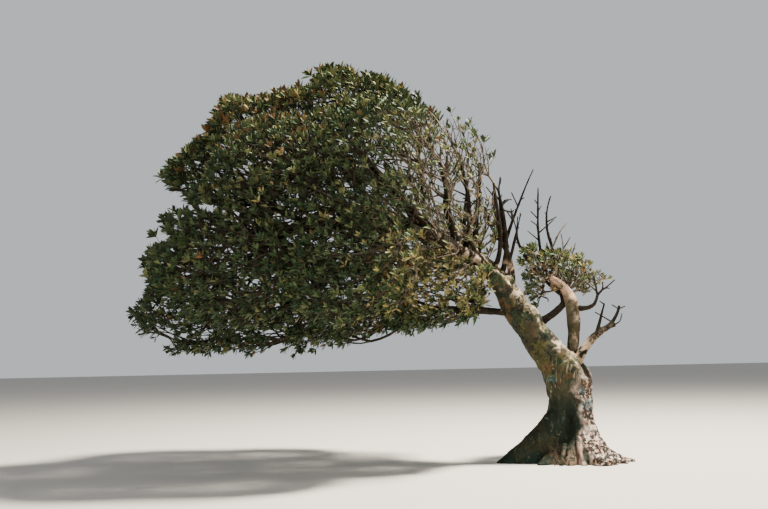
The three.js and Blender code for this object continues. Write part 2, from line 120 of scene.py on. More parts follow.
# Deep hollows in the trunk: heading, height, half width, half height and depth.
HOLLOWS = [
    (252, 0.64, 0.125, 0.29, 0.16),
    (277, 0.13, 0.050, 0.15, 0.10),
    (234, 0.22, 0.060, 0.14, 0.07),
    (326, 1.43, 0.140, 0.18, 0.11),
    (2, 1.58, 0.260, 0.15, 0.10),
    (20, 0.45, 0.090, 0.24, 0.10),
    (112, 0.50, 0.090, 0.25, 0.10),
]
# Round lumps: middle and half widths.
LUMPS = [
    ((-0.87, -0.09, 2.84), (0.12, 0.10, 0.09)),
    ((0.175, 0.00, 2.50), (0.085, 0.08, 0.13)),
    ((0.20, 0.02, 2.40), (0.07, 0.07, 0.09)),
    ((-0.16, -0.24, 1.62), (0.11, 0.08, 0.15)),
    ((0.30, 0.22, 1.30), (0.12, 0.10, 0.16)),
    ((-0.10, 0.30, 1.10), (0.14, 0.09, 0.18)),
    ((0.40, -0.62, 0.06), (0.15, 0.12, 0.09)),
    ((0.52, -0.55, 0.05), (0.12, 0.10, 0.07)),
]
# Roots that run over the ground: places along each, and its radius at both ends.
SURFACE_ROOTS = [
    ([(0.35, -0.20, 0.34), (0.58, -0.28, 0.10), (0.80, -0.22, 0.04), (0.98, -0.26, 0.01)], (0.075, 0.018)),
    ([(0.35, -0.28, 0.22), (0.60, -0.42, 0.06), (0.80, -0.48, 0.015)], (0.060, 0.015)),
    ([(0.08, -0.38, 0.40), (0.10, -0.56, 0.12), (0.11, -0.64, 0.01)], (0.030, 0.020)),
    ([(-0.12, -0.40, 0.30), (-0.20, -0.58, 0.06), (-0.34, -0.62, 0.01)], (0.034, 0.014)),
    ([(0.30, 0.34, 0.30), (0.50, 0.52, 0.08), (0.64, 0.66, 0.01)], (0.070, 0.020)),
    ([(-0.34, 0.30, 0.36), (-0.62, 0.44, 0.10), (-0.78, 0.62, 0.01)], (0.070, 0.020)),
    ([(-0.02, 0.40, 0.30), (0.06, 0.60, 0.07), (0.02, 0.74, 0.01)], (0.060, 0.020)),
]

# Limbs that show bare. A foot is a point in the trunk, or is on another limb at a share of its length.
BARE_LIMBS = [
    {"name": "leaning_limb", "foot": (0.03, 0, 1.15), "leave": (-0.06, 0, 0.45), "arrive": (-0.15, 0, 0.45),
     "tip": (-0.905, 0, 2.80), "girth": (0.290, 0.178)},
    {"name": "broken_stem", "foot": (0.14, 0.06, 1.30), "leave": (0, 0, 0.60), "arrive": (-0.56, 0, 0.25),
     "tip": (-0.14, 0.04, 2.90), "girth": (0.088, 0.042), "swell": 0.045},
    {"name": "right_limb", "foot": (0.16, -0.07, 1.38), "leave": (0.10, 0, 0.38), "arrive": (0.26, 0, 0.07),
     "tip": (0.83, -0.09, 2.12), "girth": (0.085, 0.042)},
    {"name": "cross_limb", "on": "leaning_limb", "at": 0.6, "leave": (0.35, 0.15, 0.05),
     "arrive": (0.06, 0.03, 0.19), "tip": (0.18, 0.30, 2.64), "girth": (0.074, 0.050)},
    {"name": "hook_limb", "on": "broken_stem", "at": 0.64, "leave": (0.18, -0.04, -0.04),
     "arrive": (0.04, 0, 0.14), "tip": (0.56, -0.06, 2.52), "girth": (0.050, 0.026)},
    {"name": "windward_bough", "on": "leaning_limb", "at": 0.93, "leave": (0.15, -0.06, 0.30),
     "arrive": (-0.04, 0, 0.25), "tip": (-0.87, -0.09, 3.48), "girth": (0.078, 0.034)},
    {"name": "shoot_bough", "on": "cross_limb", "at": 0.82, "leave": (-0.06, -0.04, 0.30),
     "arrive": (-0.02, 0, 0.15), "tip": (-0.085, 0.185, 3.56), "girth": (0.032, 0.020)},
]

# Great boughs that fan out from the leaning limb, each to its own mass of leaves.
GREAT_BOUGHS = [
    {"name": "long_bough", "on": "leaning_limb", "at": 0.95, "mass": "lee_middle",
     "leave": (-0.82, 0.03, 1.35), "girth": (0.135, 0.048)},
    {"name": "low_bough", "on": "leaning_limb", "at": 0.72, "mass": "under_left",
     "leave": (-0.90, -0.15, 0.08), "girth": (0.064, 0.038)},
    {"name": "front_bough", "on": "leaning_limb", "at": 0.90, "mass": "front_middle",
     "leave": (-0.45, -0.90, 0.65), "girth": (0.105, 0.042)},
    {"name": "back_bough", "on": "leaning_limb", "at": 0.97, "mass": "back_middle",
     "leave": (-0.35, 0.90, 0.80), "girth": (0.112, 0.042)},
    {"name": "crest_bough", "on": "long_bough", "at": 0.36, "mass": "crest_top",
     "leave": (-0.35, -0.06, 0.50), "girth": (0.084, 0.038)},
    {"name": "brow_bough", "on": "long_bough", "at": 0.21, "mass": "brow",
     "leave": (-0.33, 0.04, 0.52), "girth": (0.074, 0.034)},
]

# Masses of foliage: name, centre, reach along X, Y and Z, and the limb that a smaller bough springs from.
LEAFY = [
    ("lee_low", (-5.93, -0.06, 2.58), (1.00, 1.15, 0.88), "long_bough", 0.62),
    ("lee_middle", (-5.70, 0.10, 3.64), (1.05, 1.20, 0.88)),
    ("lee_high", (-5.50, 0.00, 4.56), (0.98, 1.20, 0.85), "long_bough", 0.78),
    ("crest_left", (-4.83, 0.00, 5.24), (1.00, 1.25, 0.90), "long_bough", 0.6),
    ("crest_top", (-3.62, 0.00, 5.54), (1.08, 1.30, 0.99)),
    ("crest_right", (-2.56, 0.00, 5.23), (0.95, 1.15, 0.95), "crest_bough", 0.45),
    ("brow", (-1.72, 0.06, 4.88), (0.80, 0.90, 0.92)),
    ("nape", (-1.33, 0.04, 3.90), (0.60, 0.65, 0.72), "long_bough", 0.1),
    ("under_left", (-4.65, -0.10, 2.53), (1.02, 1.15, 0.88)),
    ("under_middle", (-3.28, 0.10, 2.54), (1.05, 1.10, 0.86), "low_bough", 0.5),
    ("throat", (-2.00, -0.30, 2.70), (1.00, 0.90, 0.78), "low_bough", 0.2),
    ("front_lee", (-4.95, -1.50, 3.13), (1.15, 1.00, 1.08), "front_bough", 0.72),
    ("front_middle", (-4.25, -1.45, 4.20), (1.15, 1.05, 1.05)),
    ("front_crest", (-2.95, -1.38, 4.50), (1.05, 1.05, 0.99), "front_bough", 0.5),
    ("front_low", (-3.35, -1.56, 3.06), (1.10, 1.00, 1.00), "front_bough", 0.38),
    ("front_brow", (-1.95, -0.95, 4.02), (0.90, 0.85, 0.90), "front_bough", 0.2),
    ("back_lee", (-4.95, 1.50, 3.33), (1.15, 1.05, 1.10), "back_bough", 0.72),
    ("back_middle", (-4.30, 1.45, 4.50), (1.15, 1.10, 1.08)),
    ("back_crest", (-2.95, 1.40, 4.65), (1.08, 1.10, 1.08), "back_bough", 0.52),
    ("back_low", (-3.45, 1.56, 3.12), (1.15, 1.05, 1.08), "back_bough", 0.42),
    ("back_brow", (-1.95, 1.05, 3.95), (0.95, 0.90, 0.95), "back_bough", 0.25),
    ("windward", (0.05, 0.17, 3.02), (0.73, 0.66, 0.56)),
]
SPARSE = ["brow", "nape", "front_brow", "back_brow"]
# Masses of dead twigs with no leaves.
BARE = [
    ("head", (-0.81, -0.10, 4.13), (0.47, 0.43, 0.68)),
    ("above", (-0.04, 0.16, 3.90), (0.42, 0.35, 0.52)),
    ("right", (0.86, -0.09, 2.40), (0.17, 0.19, 0.26)),
    ("hook", (0.59, -0.05, 2.80), (0.24, 0.26, 0.28)),
]
CARRIERS = {
    "windward": "cross_limb", "head": "windward_bough", "above": "shoot_bough",
    "right": "right_limb", "hook": "hook_limb",
}
SMALL_GIRTH = (0.058, 0.030)
SMALL_LEAVE = 0.25
SMALL_RISE = 0.12
ARRIVE = 0.35
ENTRY = 0.8
ENTRY_AIR = 0.06
CELL_AIR = 0.006

# Limbs that grow on from these in the scene alone: the limb that each springs from and where on it, how it
# leaves and arrives, its tip, and its radius at foot and tip. In the brush they are slim and rise from the
# great boughs. On the windward side they are dead.
BRUSH_LIMBS = [
    ("long_bough", 0.13, (-0.26, -0.30, 0.36), (-0.03, 0, 0.55), (-1.30, -0.66, 4.66), (0.056, 0.024)),
    ("front_bough", 0.36, (-0.26, 0.05, 0.30), (-0.16, 0, 0.50), (-1.95, -0.78, 4.72), (0.056, 0.024)),
    ("front_bough", 0.20, (0.30, -0.05, 0.10), (-0.06, 0, 0.55), (-1.08, -0.55, 4.36), (0.044, 0.018)),
    ("back_bough", 0.26, (-0.20, 0.04, 0.45), (0.02, 0, 0.40), (-1.36, 0.62, 4.70), (0.045, 0.018)),
    ("back_bough", 0.48, (-0.25, 0.03, 0.45), (-0.12, 0, 0.40), (-2.20, 0.85, 5.10), (0.048, 0.018)),
    ("long_bough", 0.05, (0.20, -0.22, 0.18), (-0.10, 0, 0.50), (-0.98, -0.34, 4.28), (0.048, 0.020)),
    ("front_bough", 0.30, (-0.50, -0.10, 0.30), (-0.42, 0, 0.36), (-2.98, -0.95, 4.46), (0.060, 0.018)),
    ("long_bough", 0.22, (0.20, -0.24, 0.20), (-0.16, 0, 0.50), (-1.62, -0.50, 4.86), (0.048, 0.020)),
]
DEAD_LIMBS = [
    ("windward_bough", 0.86, (-0.03, 0, 0.22), (0.02, 0, 0.20), (-0.93, -0.10, 4.40), (0.040, 0.014)),
    ("windward_bough", 0.90, (-0.10, 0.04, 0.20), (0.01, 0, 0.30), (-1.01, 0.05, 4.34), (0.032, 0.016)),
    ("windward_bough", 0.98, (0.08, 0, 0.22), (0.19, 0, 0.36), (-0.36, -0.10, 4.66), (0.026, 0.009)),
    ("cross_limb", 0.95, (-0.52, -0.11, 0.42), (0.04, 0, 0.80), (-0.25, 0.16, 4.41), (0.034, 0.010)),
    ("shoot_bough", 0.92, (-0.10, -0.02, 0.24), (0.10, 0, 0.24), (-0.05, 0.14, 4.26), (0.021, 0.010)),
    ("right_limb", 0.86, (0.07, 0, 0.05), (0.03, 0, 0.14), (0.92, -0.07, 2.42), (0.037, 0.019)),
    ("right_limb", 0.66, (0.04, 0, 0.12), (0.05, 0, 0.14), (0.69, -0.05, 2.46), (0.030, 0.015)),
    ("cross_limb", 0.94, (-0.42, -0.02, 0.26), (0.16, 0, 0.26), (-0.61, 0.12, 3.76), (0.034, 0.018)),
    ("windward_bough", 0.72, (-0.10, -0.05, 0.25), (0.10, 0, 0.30), (-1.16, -0.20, 4.14), (0.032, 0.012)),
    ("windward_bough", 0.62, (0.05, -0.02, 0.16), (0.06, 0, 0.22), (-0.62, -0.14, 3.86), (0.024, 0.011)),
]

# The ends of the dead shoots that stand out over the windward side, as the photo shows them.
SHOOTS = {
    "head": [(-0.52, -0.06, 4.20), (-0.60, -0.16, 3.92), (-0.70, 0.22, 4.05), (-0.78, -0.30, 3.98),
             (-1.14, -0.16, 4.04), (-0.68, -0.22, 3.66), (-1.08, 0.22, 3.86), (-0.80, 0.02, 4.20),
             (-1.08, -0.06, 3.60), (-0.66, 0.10, 3.50)],
    "above": [(-0.21, 0.17, 4.10), (-0.38, 0.20, 4.02), (-0.32, 0.14, 4.20), (0.02, 0.10, 3.90),
              (-0.14, 0.24, 4.00), (-0.40, 0.10, 3.84), (-0.12, 0.10, 3.78)],
    "windward": [(-0.02, 0.12, 3.86), (0.03, 0.05, 3.64), (0.20, 0.16, 3.81), (0.26, 0.24, 3.58),
                 (0.32, 0.12, 3.48), (-0.30, 0.20, 3.80), (0.12, 0.30, 3.66), (0.02, 0.22, 3.58),
                 (-0.44, 0.24, 3.70), (-0.22, 0.18, 2.60), (-0.08, 0.22, 2.58), (0.02, 0.16, 2.62),
                 (-0.34, 0.20, 2.56), (-0.15, 0.26, 2.52)],
    "right": [(0.53, -0.06, 2.32), (0.62, -0.02, 2.50), (0.98, 0.02, 2.30), (0.84, 0.06, 2.44),
              (0.99, -0.14, 2.40)],
    "hook": [(0.87, -0.07, 2.83), (0.73, -0.07, 2.70), (0.56, 0.00, 2.88), (0.50, -0.10, 2.96),
             (0.60, 0.08, 2.95), (0.42, -0.02, 2.80), (0.66, -0.12, 2.80), (0.80, 0.02, 2.70)],
}
HEAD_SHOOTS = 46  # lesser dead shoots that the head has besides
HEAD_SHIFT = np.array([-0.12, 0.0, -0.12])
HEAD_REACH = np.array([0.75, 0.95, 0.85])
HEAD_SHELL = (0.4, 1.0)  # how far out they end, from the middle

# Growth of the twigs.
FORK = (-0.90, 0.0, 2.80)  # where the great boughs part, and the flow of the crown begins
LEE = np.array([-1.0, 0.0, 0.0])
STEM_ON = {"leafy": 0.8, "bare": 0.3}  # how far the first twig runs on to the mass's middle, as a share
FIRST_SPRAYS = 26  # in each mass, where its solid has them
LEAF_INSET = 0.175  # how far inside the mass the first sprays end
WAY_PULL = 0.25  # how much a twig would rather spring from a place that is a short way from its limb
FLOW_PULL = 0.9  # how much it would rather run with the flow, away from the fork
TURN_PULL = 0.5  # how much it would rather run on in line with what it springs from
TWIG_STEP = {"dense": 0.15, "sparse": 0.12, "windward": 0.10, "bare": 0.06}  # between a twig's points
TWIG_BEND = {"dense": 1.0, "sparse": 0.9, "windward": 0.9, "bare": 0.15}
TWIG_KNOBS = {"dense": 0.05, "sparse": 0.10, "windward": 0.10, "bare": 0.22}
TWIG_TAPER = 0.8  # a live twig's last radius, as a share; a dead shoot ends blunt
# Twigs spring from limbs at places so far apart, where a limb passes so near a mass, as a share of its reach.
ROOT_STEP = {"dense": 0.12, "sparse": 0.34, "windward": 0.12, "bare": 0.12}
ROOT_REACH = 1.25
ROOTS_FROM = 0.3  # the share of a limb's length that bears no twigs
LONG_ROOTS_FROM = 0.5
ROOT_WAY = 0.1  # the way that such a place counts as having behind it
FOOT_DEPTH = 0.03  # how far the first twig starts inside the end of its limb
# A twig's radius is that of its tip, and grows by a power of the load that it carries.
TWIG_TIP = {"dense": 0.0050, "sparse": 0.0052, "windward": 0.0054, "bare": 0.0085}
TWIG_POWER = {"dense": 0.38, "sparse": 0.46, "windward": 0.42, "bare": 0.42}
DEAD_LOAD = 0.22  # what each point of a dead shoot adds to its load, so that it tapers
SPRAY_APART = {"dense": 0.110, "sparse": 0.155, "windward": 0.086}
THROAT_APART = 0.084
MOST_SPRAYS = {"dense": 1100, "sparse": 360, "windward": 360}
PLACES_FOR_SPRAY = 16  # how many places are tried for each
MOST_POINTS = 6000  # of all the twigs of a mass
FIRST_MARGIN = 0.02  # between the first sprays and the next mass
FINE_MARGIN = 0.01  # and between the others and the next mass
FINE_REACH = 1.25  # how far out sprays are tried, as a share of the mass's reach
WINDWARD_REACH = 1.15
LIMB_CLEAR = 0.05  # how far sprays keep off the limbs
SHELL = {"dense": 0.48, "sparse": 0.10, "windward": 0.0}  # where sprays begin, from the middle out
THROAT_SHELL = 0.2
SHELL_DEPTH = 6.0  # how deep under the crown's surface sprays still grow
CROWN_BLEND = 3.2  # how closely the crown follows its masses: a low number fills the notches
CROWN_SURFACE = 1.25

# The crown's outline as the photo shows it, at the depth of the trunk: X and Z, from its low lee end up,
# over the top and back along its underside.
CROWN_EDGE = [
    (-6.68, 1.70), (-6.24, 1.98), (-6.30, 2.12), (-6.76, 2.04), (-6.90, 2.40), (-6.58, 2.88), (-6.80, 3.47),
    (-6.26, 3.64), (-6.48, 4.00), (-6.05, 4.14), (-6.07, 4.28), (-6.54, 4.70), (-6.16, 5.08), (-5.70, 5.46),
    (-5.44, 6.04), (-4.77, 6.06), (-4.30, 6.14), (-4.02, 6.18), (-3.84, 6.51), (-3.35, 6.49), (-3.18, 6.34),
    (-2.80, 6.46), (-2.46, 6.14), (-2.19, 5.96), (-1.84, 5.66), (-1.70, 5.80), (-1.36, 5.50), (-1.12, 5.30),
    (-0.92, 4.93), (-0.78, 4.40), (-0.80, 3.50), (-0.98, 2.90), (-1.28, 2.16), (-1.90, 2.10), (-2.59, 2.00),
    (-3.10, 1.96), (-3.48, 1.78), (-3.80, 1.86), (-4.16, 1.60), (-4.36, 1.84), (-4.70, 1.84), (-4.96, 1.58),
    (-5.22, 1.76), (-5.70, 1.58), (-5.95, 1.76),
]
WINDWARD_EDGE = [
    (-0.59, 3.40), (-0.45, 3.46), (-0.31, 3.42), (-0.13, 3.39), (0.03, 3.36), (0.16, 3.30), (0.32, 3.23),
    (0.47, 3.10), (0.64, 3.02), (0.80, 2.96), (0.93, 2.84), (0.70, 2.78), (0.56, 2.68), (0.42, 2.55),
    (0.15, 2.70), (-0.08, 2.62), (-0.24, 2.60), (-0.34, 2.48), (-0.42, 2.36), (-0.54, 2.44), (-0.60, 2.62),
    (-0.61, 2.83), (-0.65, 3.03), (-0.66, 3.20),
]
EDGE_INSET = 0.09  # sprays end this far inside it, because their leaves reach on
WINDWARD_INSET = 0.05
EDGE_ROUGH = {"dense": 0.12, "sparse": 0.20, "windward": 0.10}
ROUGH_SCALES = (3.1, 7.3)  # coarse and fine
ROUGH_FINE = 0.7  # how much the fine one counts
# Gaps of the crown that no twig with leaves ends in: X, Z and half widths at the trunk's depth.
GAPS = [(-5.67, 4.14, 0.19, 0.09), (-6.01, 4.23, 0.11, 0.08), (-1.88, 4.34, 0.13, 0.22),
        (-1.48, 4.30, 0.20, 0.24), (-2.89, 4.70, 0.16, 0.11), (-1.08, 4.46, 0.10, 0.22)]
# Where the lit boughs show: no sprays stand before them.
OPENED = [(-2.28, 3.80, 0.22, 0.12), (-1.92, 3.60, 0.24, 0.12), (-1.56, 3.40, 0.22, 0.12),
          (-1.26, 3.20, 0.18, 0.12)]
OPEN_FRONT = -0.05
# Specks of sky between the leaves: X, Z and half widths of a patch, and how many specks a square metre has.
SPECKLED = [(-4.03, 3.69, 0.75, 0.34, 15), (-5.52, 3.22, 0.50, 0.55, 7), (-5.72, 2.32, 0.50, 0.30, 8),
            (-4.90, 3.02, 0.30, 0.25, 8), (-6.07, 4.24, 0.40, 0.25, 10), (-2.73, 4.59, 0.80, 0.36, 10),
            (-4.82, 4.89, 0.60, 0.35, 6), (-4.68, 1.91, 0.80, 0.18, 12), (-1.75, 2.27, 0.60, 0.16, 26),
            (-3.20, 2.45, 0.90, 0.25, 5), (-2.60, 3.60, 0.60, 0.40, 6)]
SPECKS_ELSEWHERE = 3.5
SPECKS_TOP = (5.6, 5.0)  # none above, all below
SPECK_RADIUS = (0.026, 0.050)
STEM_FRONT = 0.14  # leaves of the windward mass keep behind this, so that the broken stem shows
STEM_TOP = 2.9
STEM_EASE = 0.5  # over the stem's top they come forward by this share of the height

# The windward side of the crown is a brush of pale, upright twigs with few leaves.
BRUSH_X = (-3.05, -1.85)  # from all leaves to mostly twigs
BRUSH_Z = (3.2, 3.7)  # below this the leaves close up again
BRUSH_TOP = (4.75, 0.75)  # above this height, and so much more for each metre towards the wind, too
BRUSH_EASE = 0.35
BRUSH_LEAVES = 0.55  # the share of twigs with leaves there

# Leaves: leathery ovals in a spiral round the end of each twig.
LEAF_LENGTH = 0.166
LEAF_WIDTH = 0.056
LEAF_KEEL = 0.25
LEAF_CURL = 0.13
LEAF_STATIONS = [(0.0, 0.0), (0.38, 0.46), (0.72, 0.42), (1.0, 0.0)]  # along it, and half width
LEAF_SPREAD = (0.86, 1.1)  # of a leaf's length and width
SPRAY_SPREAD = (0.84, 1.12)  # of the size of a spray's leaves
INNER_LENGTH = 0.62  # of a rosette's innermost leaf
OPENING = (10, 42, 7)  # degrees off the twig: innermost, more at the outermost, and spread
SAG = (0.02, 0.10)  # of the innermost leaf, and more at the outermost
TURN_SPREAD = 0.15
TILT_SPREAD = 0.25
LEAF_APART = 0.006  # along the twig
STEEP = 0.9  # lines steeper than this are turned about X, not Z


DRAW_FACTOR = 48271
DRAW_PRIME = 2**31 - 1


def seeded(seed):
    """Numbers from 0 to 1, the same ones as the solids were drawn with."""
    state = seed

    def draw():
        """The next number."""
        nonlocal state
        state = state * DRAW_FACTOR % DRAW_PRIME
        return state / DRAW_PRIME

    return draw


def unit(v):
    """Vectors scaled to length one."""
    return v / np.maximum(np.linalg.norm(v, axis=-1, keepdims=True), 1e-9)


def smoothstep(x, low, high):
    """0 at the first value and beyond, 1 at the second one and beyond."""
    t = np.clip((x - low) / (high - low), 0, 1)
    return t * t * (3 - 2 * t)


CURVE_POINTS = 201
HEADING_STEP = 0.004


class Limb:
    """A bent, tapering limb: a cubic curve, with its radius from foot to tip."""

    def __init__(self, name, bends, girth, swell=0.0, in_trunk=False):
        self.name = name
        self.in_trunk = in_trunk
        self.girth = girth
        self.swell = swell
        t = np.linspace(0, 1, CURVE_POINTS)[:, None]
        a, b, c, d = (np.array(p, float) for p in bends)
        self.line = (1 - t) ** 3 * a + 3 * (1 - t) ** 2 * t * b + 3 * (1 - t) * t**2 * c + t**3 * d
        steps = np.linalg.norm(np.diff(self.line, axis=0), axis=1)
        self.way = np.concatenate([[0], np.cumsum(steps)])
        self.length = self.way[-1]

    def at(self, share):
        """The place at a share of the limb's length."""
        along = np.asarray(share) * self.length
        return np.stack([np.interp(along, self.way, self.line[:, k]) for k in range(3)], axis=-1)

    def heading(self, share):
        """The way that the limb runs there."""
        return unit(self.at(min(share + HEADING_STEP, 1)) - self.at(max(share - HEADING_STEP, 0)))

    def radius(self, share):
        """The limb's radius there."""
        share = np.asarray(share, float)
        swell = self.swell * np.sin(np.pi * share**1.5) ** 2
        return self.girth[0] + (self.girth[1] - self.girth[0]) * share + swell


class Mass:
    """One mass of foliage or of bare twigs, with the space that it keeps to."""

    def __init__(self, seed, name, centre, reach, on=None, at=None):
        self.seed = seed
        self.name = name
        self.centre = np.array(centre)
        self.reach = np.array(reach)
        self.on = on
        self.share = at
        self.bare = name in [row[0] for row in BARE]
        self.carrier = CARRIERS.get(name)
        self.kind = "bare" if self.bare else "sparse" if name in SPARSE else "dense"
        if name == "windward":
            self.kind = "windward"

    def part_from(self, masses):
        """The planes that part this mass from each other mass."""
        others = [m for m in masses if m is not self]
        self.outs = unit(np.array([m.centre - self.centre for m in others]))
        gaps = np.linalg.norm([m.centre - self.centre for m in others], axis=1)
        own = np.linalg.norm(self.outs * self.reach, axis=1)
        its = np.array([np.linalg.norm(out * m.reach) for out, m in zip(self.outs, others)])
        self.fars = gaps * own / (own + its) - CELL_AIR

    def room(self, out):
        """How far the nearest plane is from the middle, along a direction."""
        slopes = self.outs @ out
        return min(self.fars[slopes > 0] / slopes[slopes > 0])

    def within(self, points, margin):
        """Whether points keep clear of every other mass."""
        return np.all((points - self.centre) @ self.outs.T < self.fars - margin, axis=-1)


def bough_to(mass, row, limbs):
    """A bough that leaves along its parent's line and bends over to the middle of its mass."""
    parent = limbs[row["on"]]
    foot = parent.at(row["at"])
    far = np.linalg.norm(foot - mass.centre)
    onward = parent.heading(row["at"]) * far * SMALL_LEAVE + UP * far * SMALL_RISE
    bend = foot + np.array(row.get("leave", onward))
    out = unit(bend - mass.centre)
    edge = 1 / np.linalg.norm(out / mass.reach)
    tip = mass.centre + out * min(edge * ENTRY, mass.room(out) - ENTRY_AIR)
    arrive = out * ARRIVE * np.linalg.norm(tip - bend)
    return Limb(row["name"], [foot, bend, tip + arrive, tip], row.get("girth", SMALL_GIRTH))


def bends_of(foot, leave, arrive, tip):
    """The four points of a limb's curve."""
    tip = np.array(tip)
    return [foot, foot + np.array(leave), tip - np.array(arrive), tip]


def grow_limbs(masses):
    """Every limb in the order that they grow, each on one that is already there."""
    limbs = {}
    for row in BARE_LIMBS:
        foot = np.array(row["foot"]) if "foot" in row else limbs[row["on"]].at(row["at"])
        bends = bends_of(foot, row["leave"], row["arrive"], row["tip"])
        limbs[row["name"]] = Limb(row["name"], bends, row["girth"], row.get("swell", 0.0), "foot" in row)
    named = {m.name: m for m in masses}
    for row in GREAT_BOUGHS:
        mass = named[row["mass"]]
        mass.carrier = row["name"]
        limbs[row["name"]] = bough_to(mass, row, limbs)
    for mass in masses:
        if not mass.carrier:
            mass.carrier = mass.name + "_bough"
            row = {"name": mass.carrier, "on": mass.on, "at": mass.share}
            limbs[mass.carrier] = bough_to(mass, row, limbs)
    return limbs


def grow_on(kind, rows, limbs):
    """The limbs of a table, each with its foot on a limb that is already there."""
    grown = []
    for number, (on, share, leave, arrive, tip, girth) in enumerate(rows, 1):
        bends = bends_of(limbs[on].at(share), leave, arrive, tip)
        grown.append(Limb(f"{kind}_{number}", bends, girth))
    return grown


def linked(name, data):
    """A new object in the scene."""
    thing = bpy.data.objects.new(name, data)
    bpy.context.scene.collection.objects.link(thing)
    return thing


def object_from(name, mesh, material, slot, *nodes):
    """A piece of the tree, which rides on its one body and stands for the solids named."""
    piece = linked(name, mesh)
    piece.data.materials.append(material)
    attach(piece, "root")
    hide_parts(*nodes)


def mesh_of(name, form):
    """A mesh from a bmesh, which ends with it."""
    mesh = bpy.data.meshes.new(name)
    form.to_mesh(mesh)
    form.free()
    return mesh


def mesh_from(name, points, faces, smooth):
    """One mesh of many small things, from arrays."""
    mesh = bpy.data.meshes.new(name)
    mesh.from_pydata(points.reshape(-1, 3).tolist(), [], faces)
    mesh.polygons.foreach_set("use_smooth", [smooth] * len(mesh.polygons))
    mesh.update()
    return mesh


# The trunk and every limb as one skin.


def buttress_at(fin, angle, height, round_radius):
    """How far a buttress stands out from the trunk at a heading and height."""
    drop = np.maximum(0, 1 - height / fin["height"]) ** fin["sweep"]
    stands = (fin["reach"] - WAIST_RADIUS - FLARE) * (1 - (1 - drop) ** BUTTRESS_TOE)
    turn = angle - math.radians(fin["heading"])
    aside = np.abs(np.arctan2(np.sin(turn), np.cos(turn))) * (round_radius + stands / 2)
    return stands * np.exp(-((aside / fin["thick"]) ** 2))


def trunk_radius(angle, height):
    """The trunk's radius at a heading and height: waist, flare, saddle, buttresses, root fins and dome."""
    low = np.maximum(0, 1 - height / FLARE_HEIGHT)
    rise = smoothstep(height, SADDLE_START, DOME_START)
    spread = SADDLE_SPREAD[0] * np.cos(angle) ** 2 + SADDLE_SPREAD[1] * np.sin(angle) ** 2
    round_radius = WAIST_RADIUS + FLARE * low**2 + spread * rise
    over = np.maximum(0, height - DOME_START) / (TRUNK_TOP - DOME_START)
    dome = np.sqrt(1 - DOME_CLOSE * over**2)
    stands = np.max([buttress_at(fin, angle, height, round_radius) for fin in BUTTRESSES], axis=0)
    fins = np.max([buttress_at(fin, angle, height, round_radius) for fin in ROOT_FINS], axis=0)
    hollow = FIN_HOLLOW * (1 - np.exp(-((stands + fins) / FIN_HOLLOW_EASE) ** 2)) - FIN_HOLLOW
    radius = dome * (round_radius + np.maximum(stands, fins) + hollow * low)
    for heading, middle, wide, tall, depth in HOLLOWS:
        turn = angle - math.radians(heading)
        aside = np.arctan2(np.sin(turn), np.cos(turn)) * round_radius
        radius = radius - depth * np.exp(-((aside / wide) ** 2) - ((height - middle) / tall) ** 2)
    return radius


TRUNK_RINGS = 60
TRUNK_SEGMENTS = 220
TRUNK_UNDER = 0.08  # how far the trunk is carried below the ground before the flat cut


def trunk_form():
    """The trunk as a ring drawn up through its heights, closed over at its top and under its foot."""
    form = bmesh.new()
    ring = bmesh.ops.create_circle(form, segments=TRUNK_SEGMENTS, radius=1.0)["verts"]
    turns = [math.atan2(v.co.y, v.co.x) for v in ring]
    edges = list(form.edges)
    bmesh.ops.contextual_create(form, geom=edges)
    heights = np.concatenate([[-TRUNK_UNDER], np.linspace(0, TRUNK_TOP, TRUNK_RINGS)])
    for level, height in enumerate(heights):
        if level:
            grown = bmesh.ops.extrude_edge_only(form, edges=edges)["geom"]
            edges = [g for g in grown if isinstance(g, bmesh.types.BMEdge)]
            ring = sorted((g for g in grown if isinstance(g, bmesh.types.BMVert)), key=lambda v: v.index)
            turns = [math.atan2(v.co.y, v.co.x - bow) for v in ring]
        at = max(height, 0)
        bow = TRUNK_BOW * math.sin(math.pi * at / TRUNK_TOP)
        radii = trunk_radius(np.array(turns), at)
        for vert, turn, radius in zip(ring, turns, radii):
            vert.co = (bow + radius * math.cos(turn), radius * math.sin(turn), height)
    bmesh.ops.contextual_create(form, geom=edges)
    bmesh.ops.recalc_face_normals(form, faces=form.faces)
    return form


LIMB_STEP = 0.05
LIMB_WANDER = 0.22  # how far a limb strays from its smooth line, as a share of its radius
LIMB_LUMPS = 0.13
COLLAR = 0.30  # how much thicker a limb is where it leaves its parent
COLLAR_LENGTH = 2.2  # in radii
FOOT_SHRINK = 0.70  # how much slimmer a limb's foot is where it is sunk in the trunk
FOOT_EASE = 0.28
STUB_LENGTH = 0.45  # how much of a bough's foot is grown into the skin of its parent
STUB_SLIM = 0.35
SLIM_STUB = 0.4 * STUB_LENGTH
RIGHT_STUB = 2 * STUB_LENGTH
LONG_STUBS = ["long_bough", "front_bough", "back_bough"]  # these carry the leaning limb on without a seam
LONG_STUB = 0.90
LONG_STUB_EASE = (0.55, 0.85)
LONG_SUNK = 0.80
CURVE_ROUND = 3  # points of a quarter of a limb's round, less one
LEAST_POINTS = 6
WANDER_SCALE = 2.6
LUMP_SCALE = 5.0
WANDER_EASE = (4, 6)  # how soon the straying begins after the foot, and ends before the tip
LIMB_SEEDS = (3.1, 7.7, 91)


def applied(work):
    """The mesh that an object comes to, with its modifiers or bevel, and the object itself taken away."""
    mesh = bpy.data.meshes.new_from_object(work.evaluated_get(bpy.context.evaluated_depsgraph_get()))
    bpy.data.objects.remove(work)
    return mesh


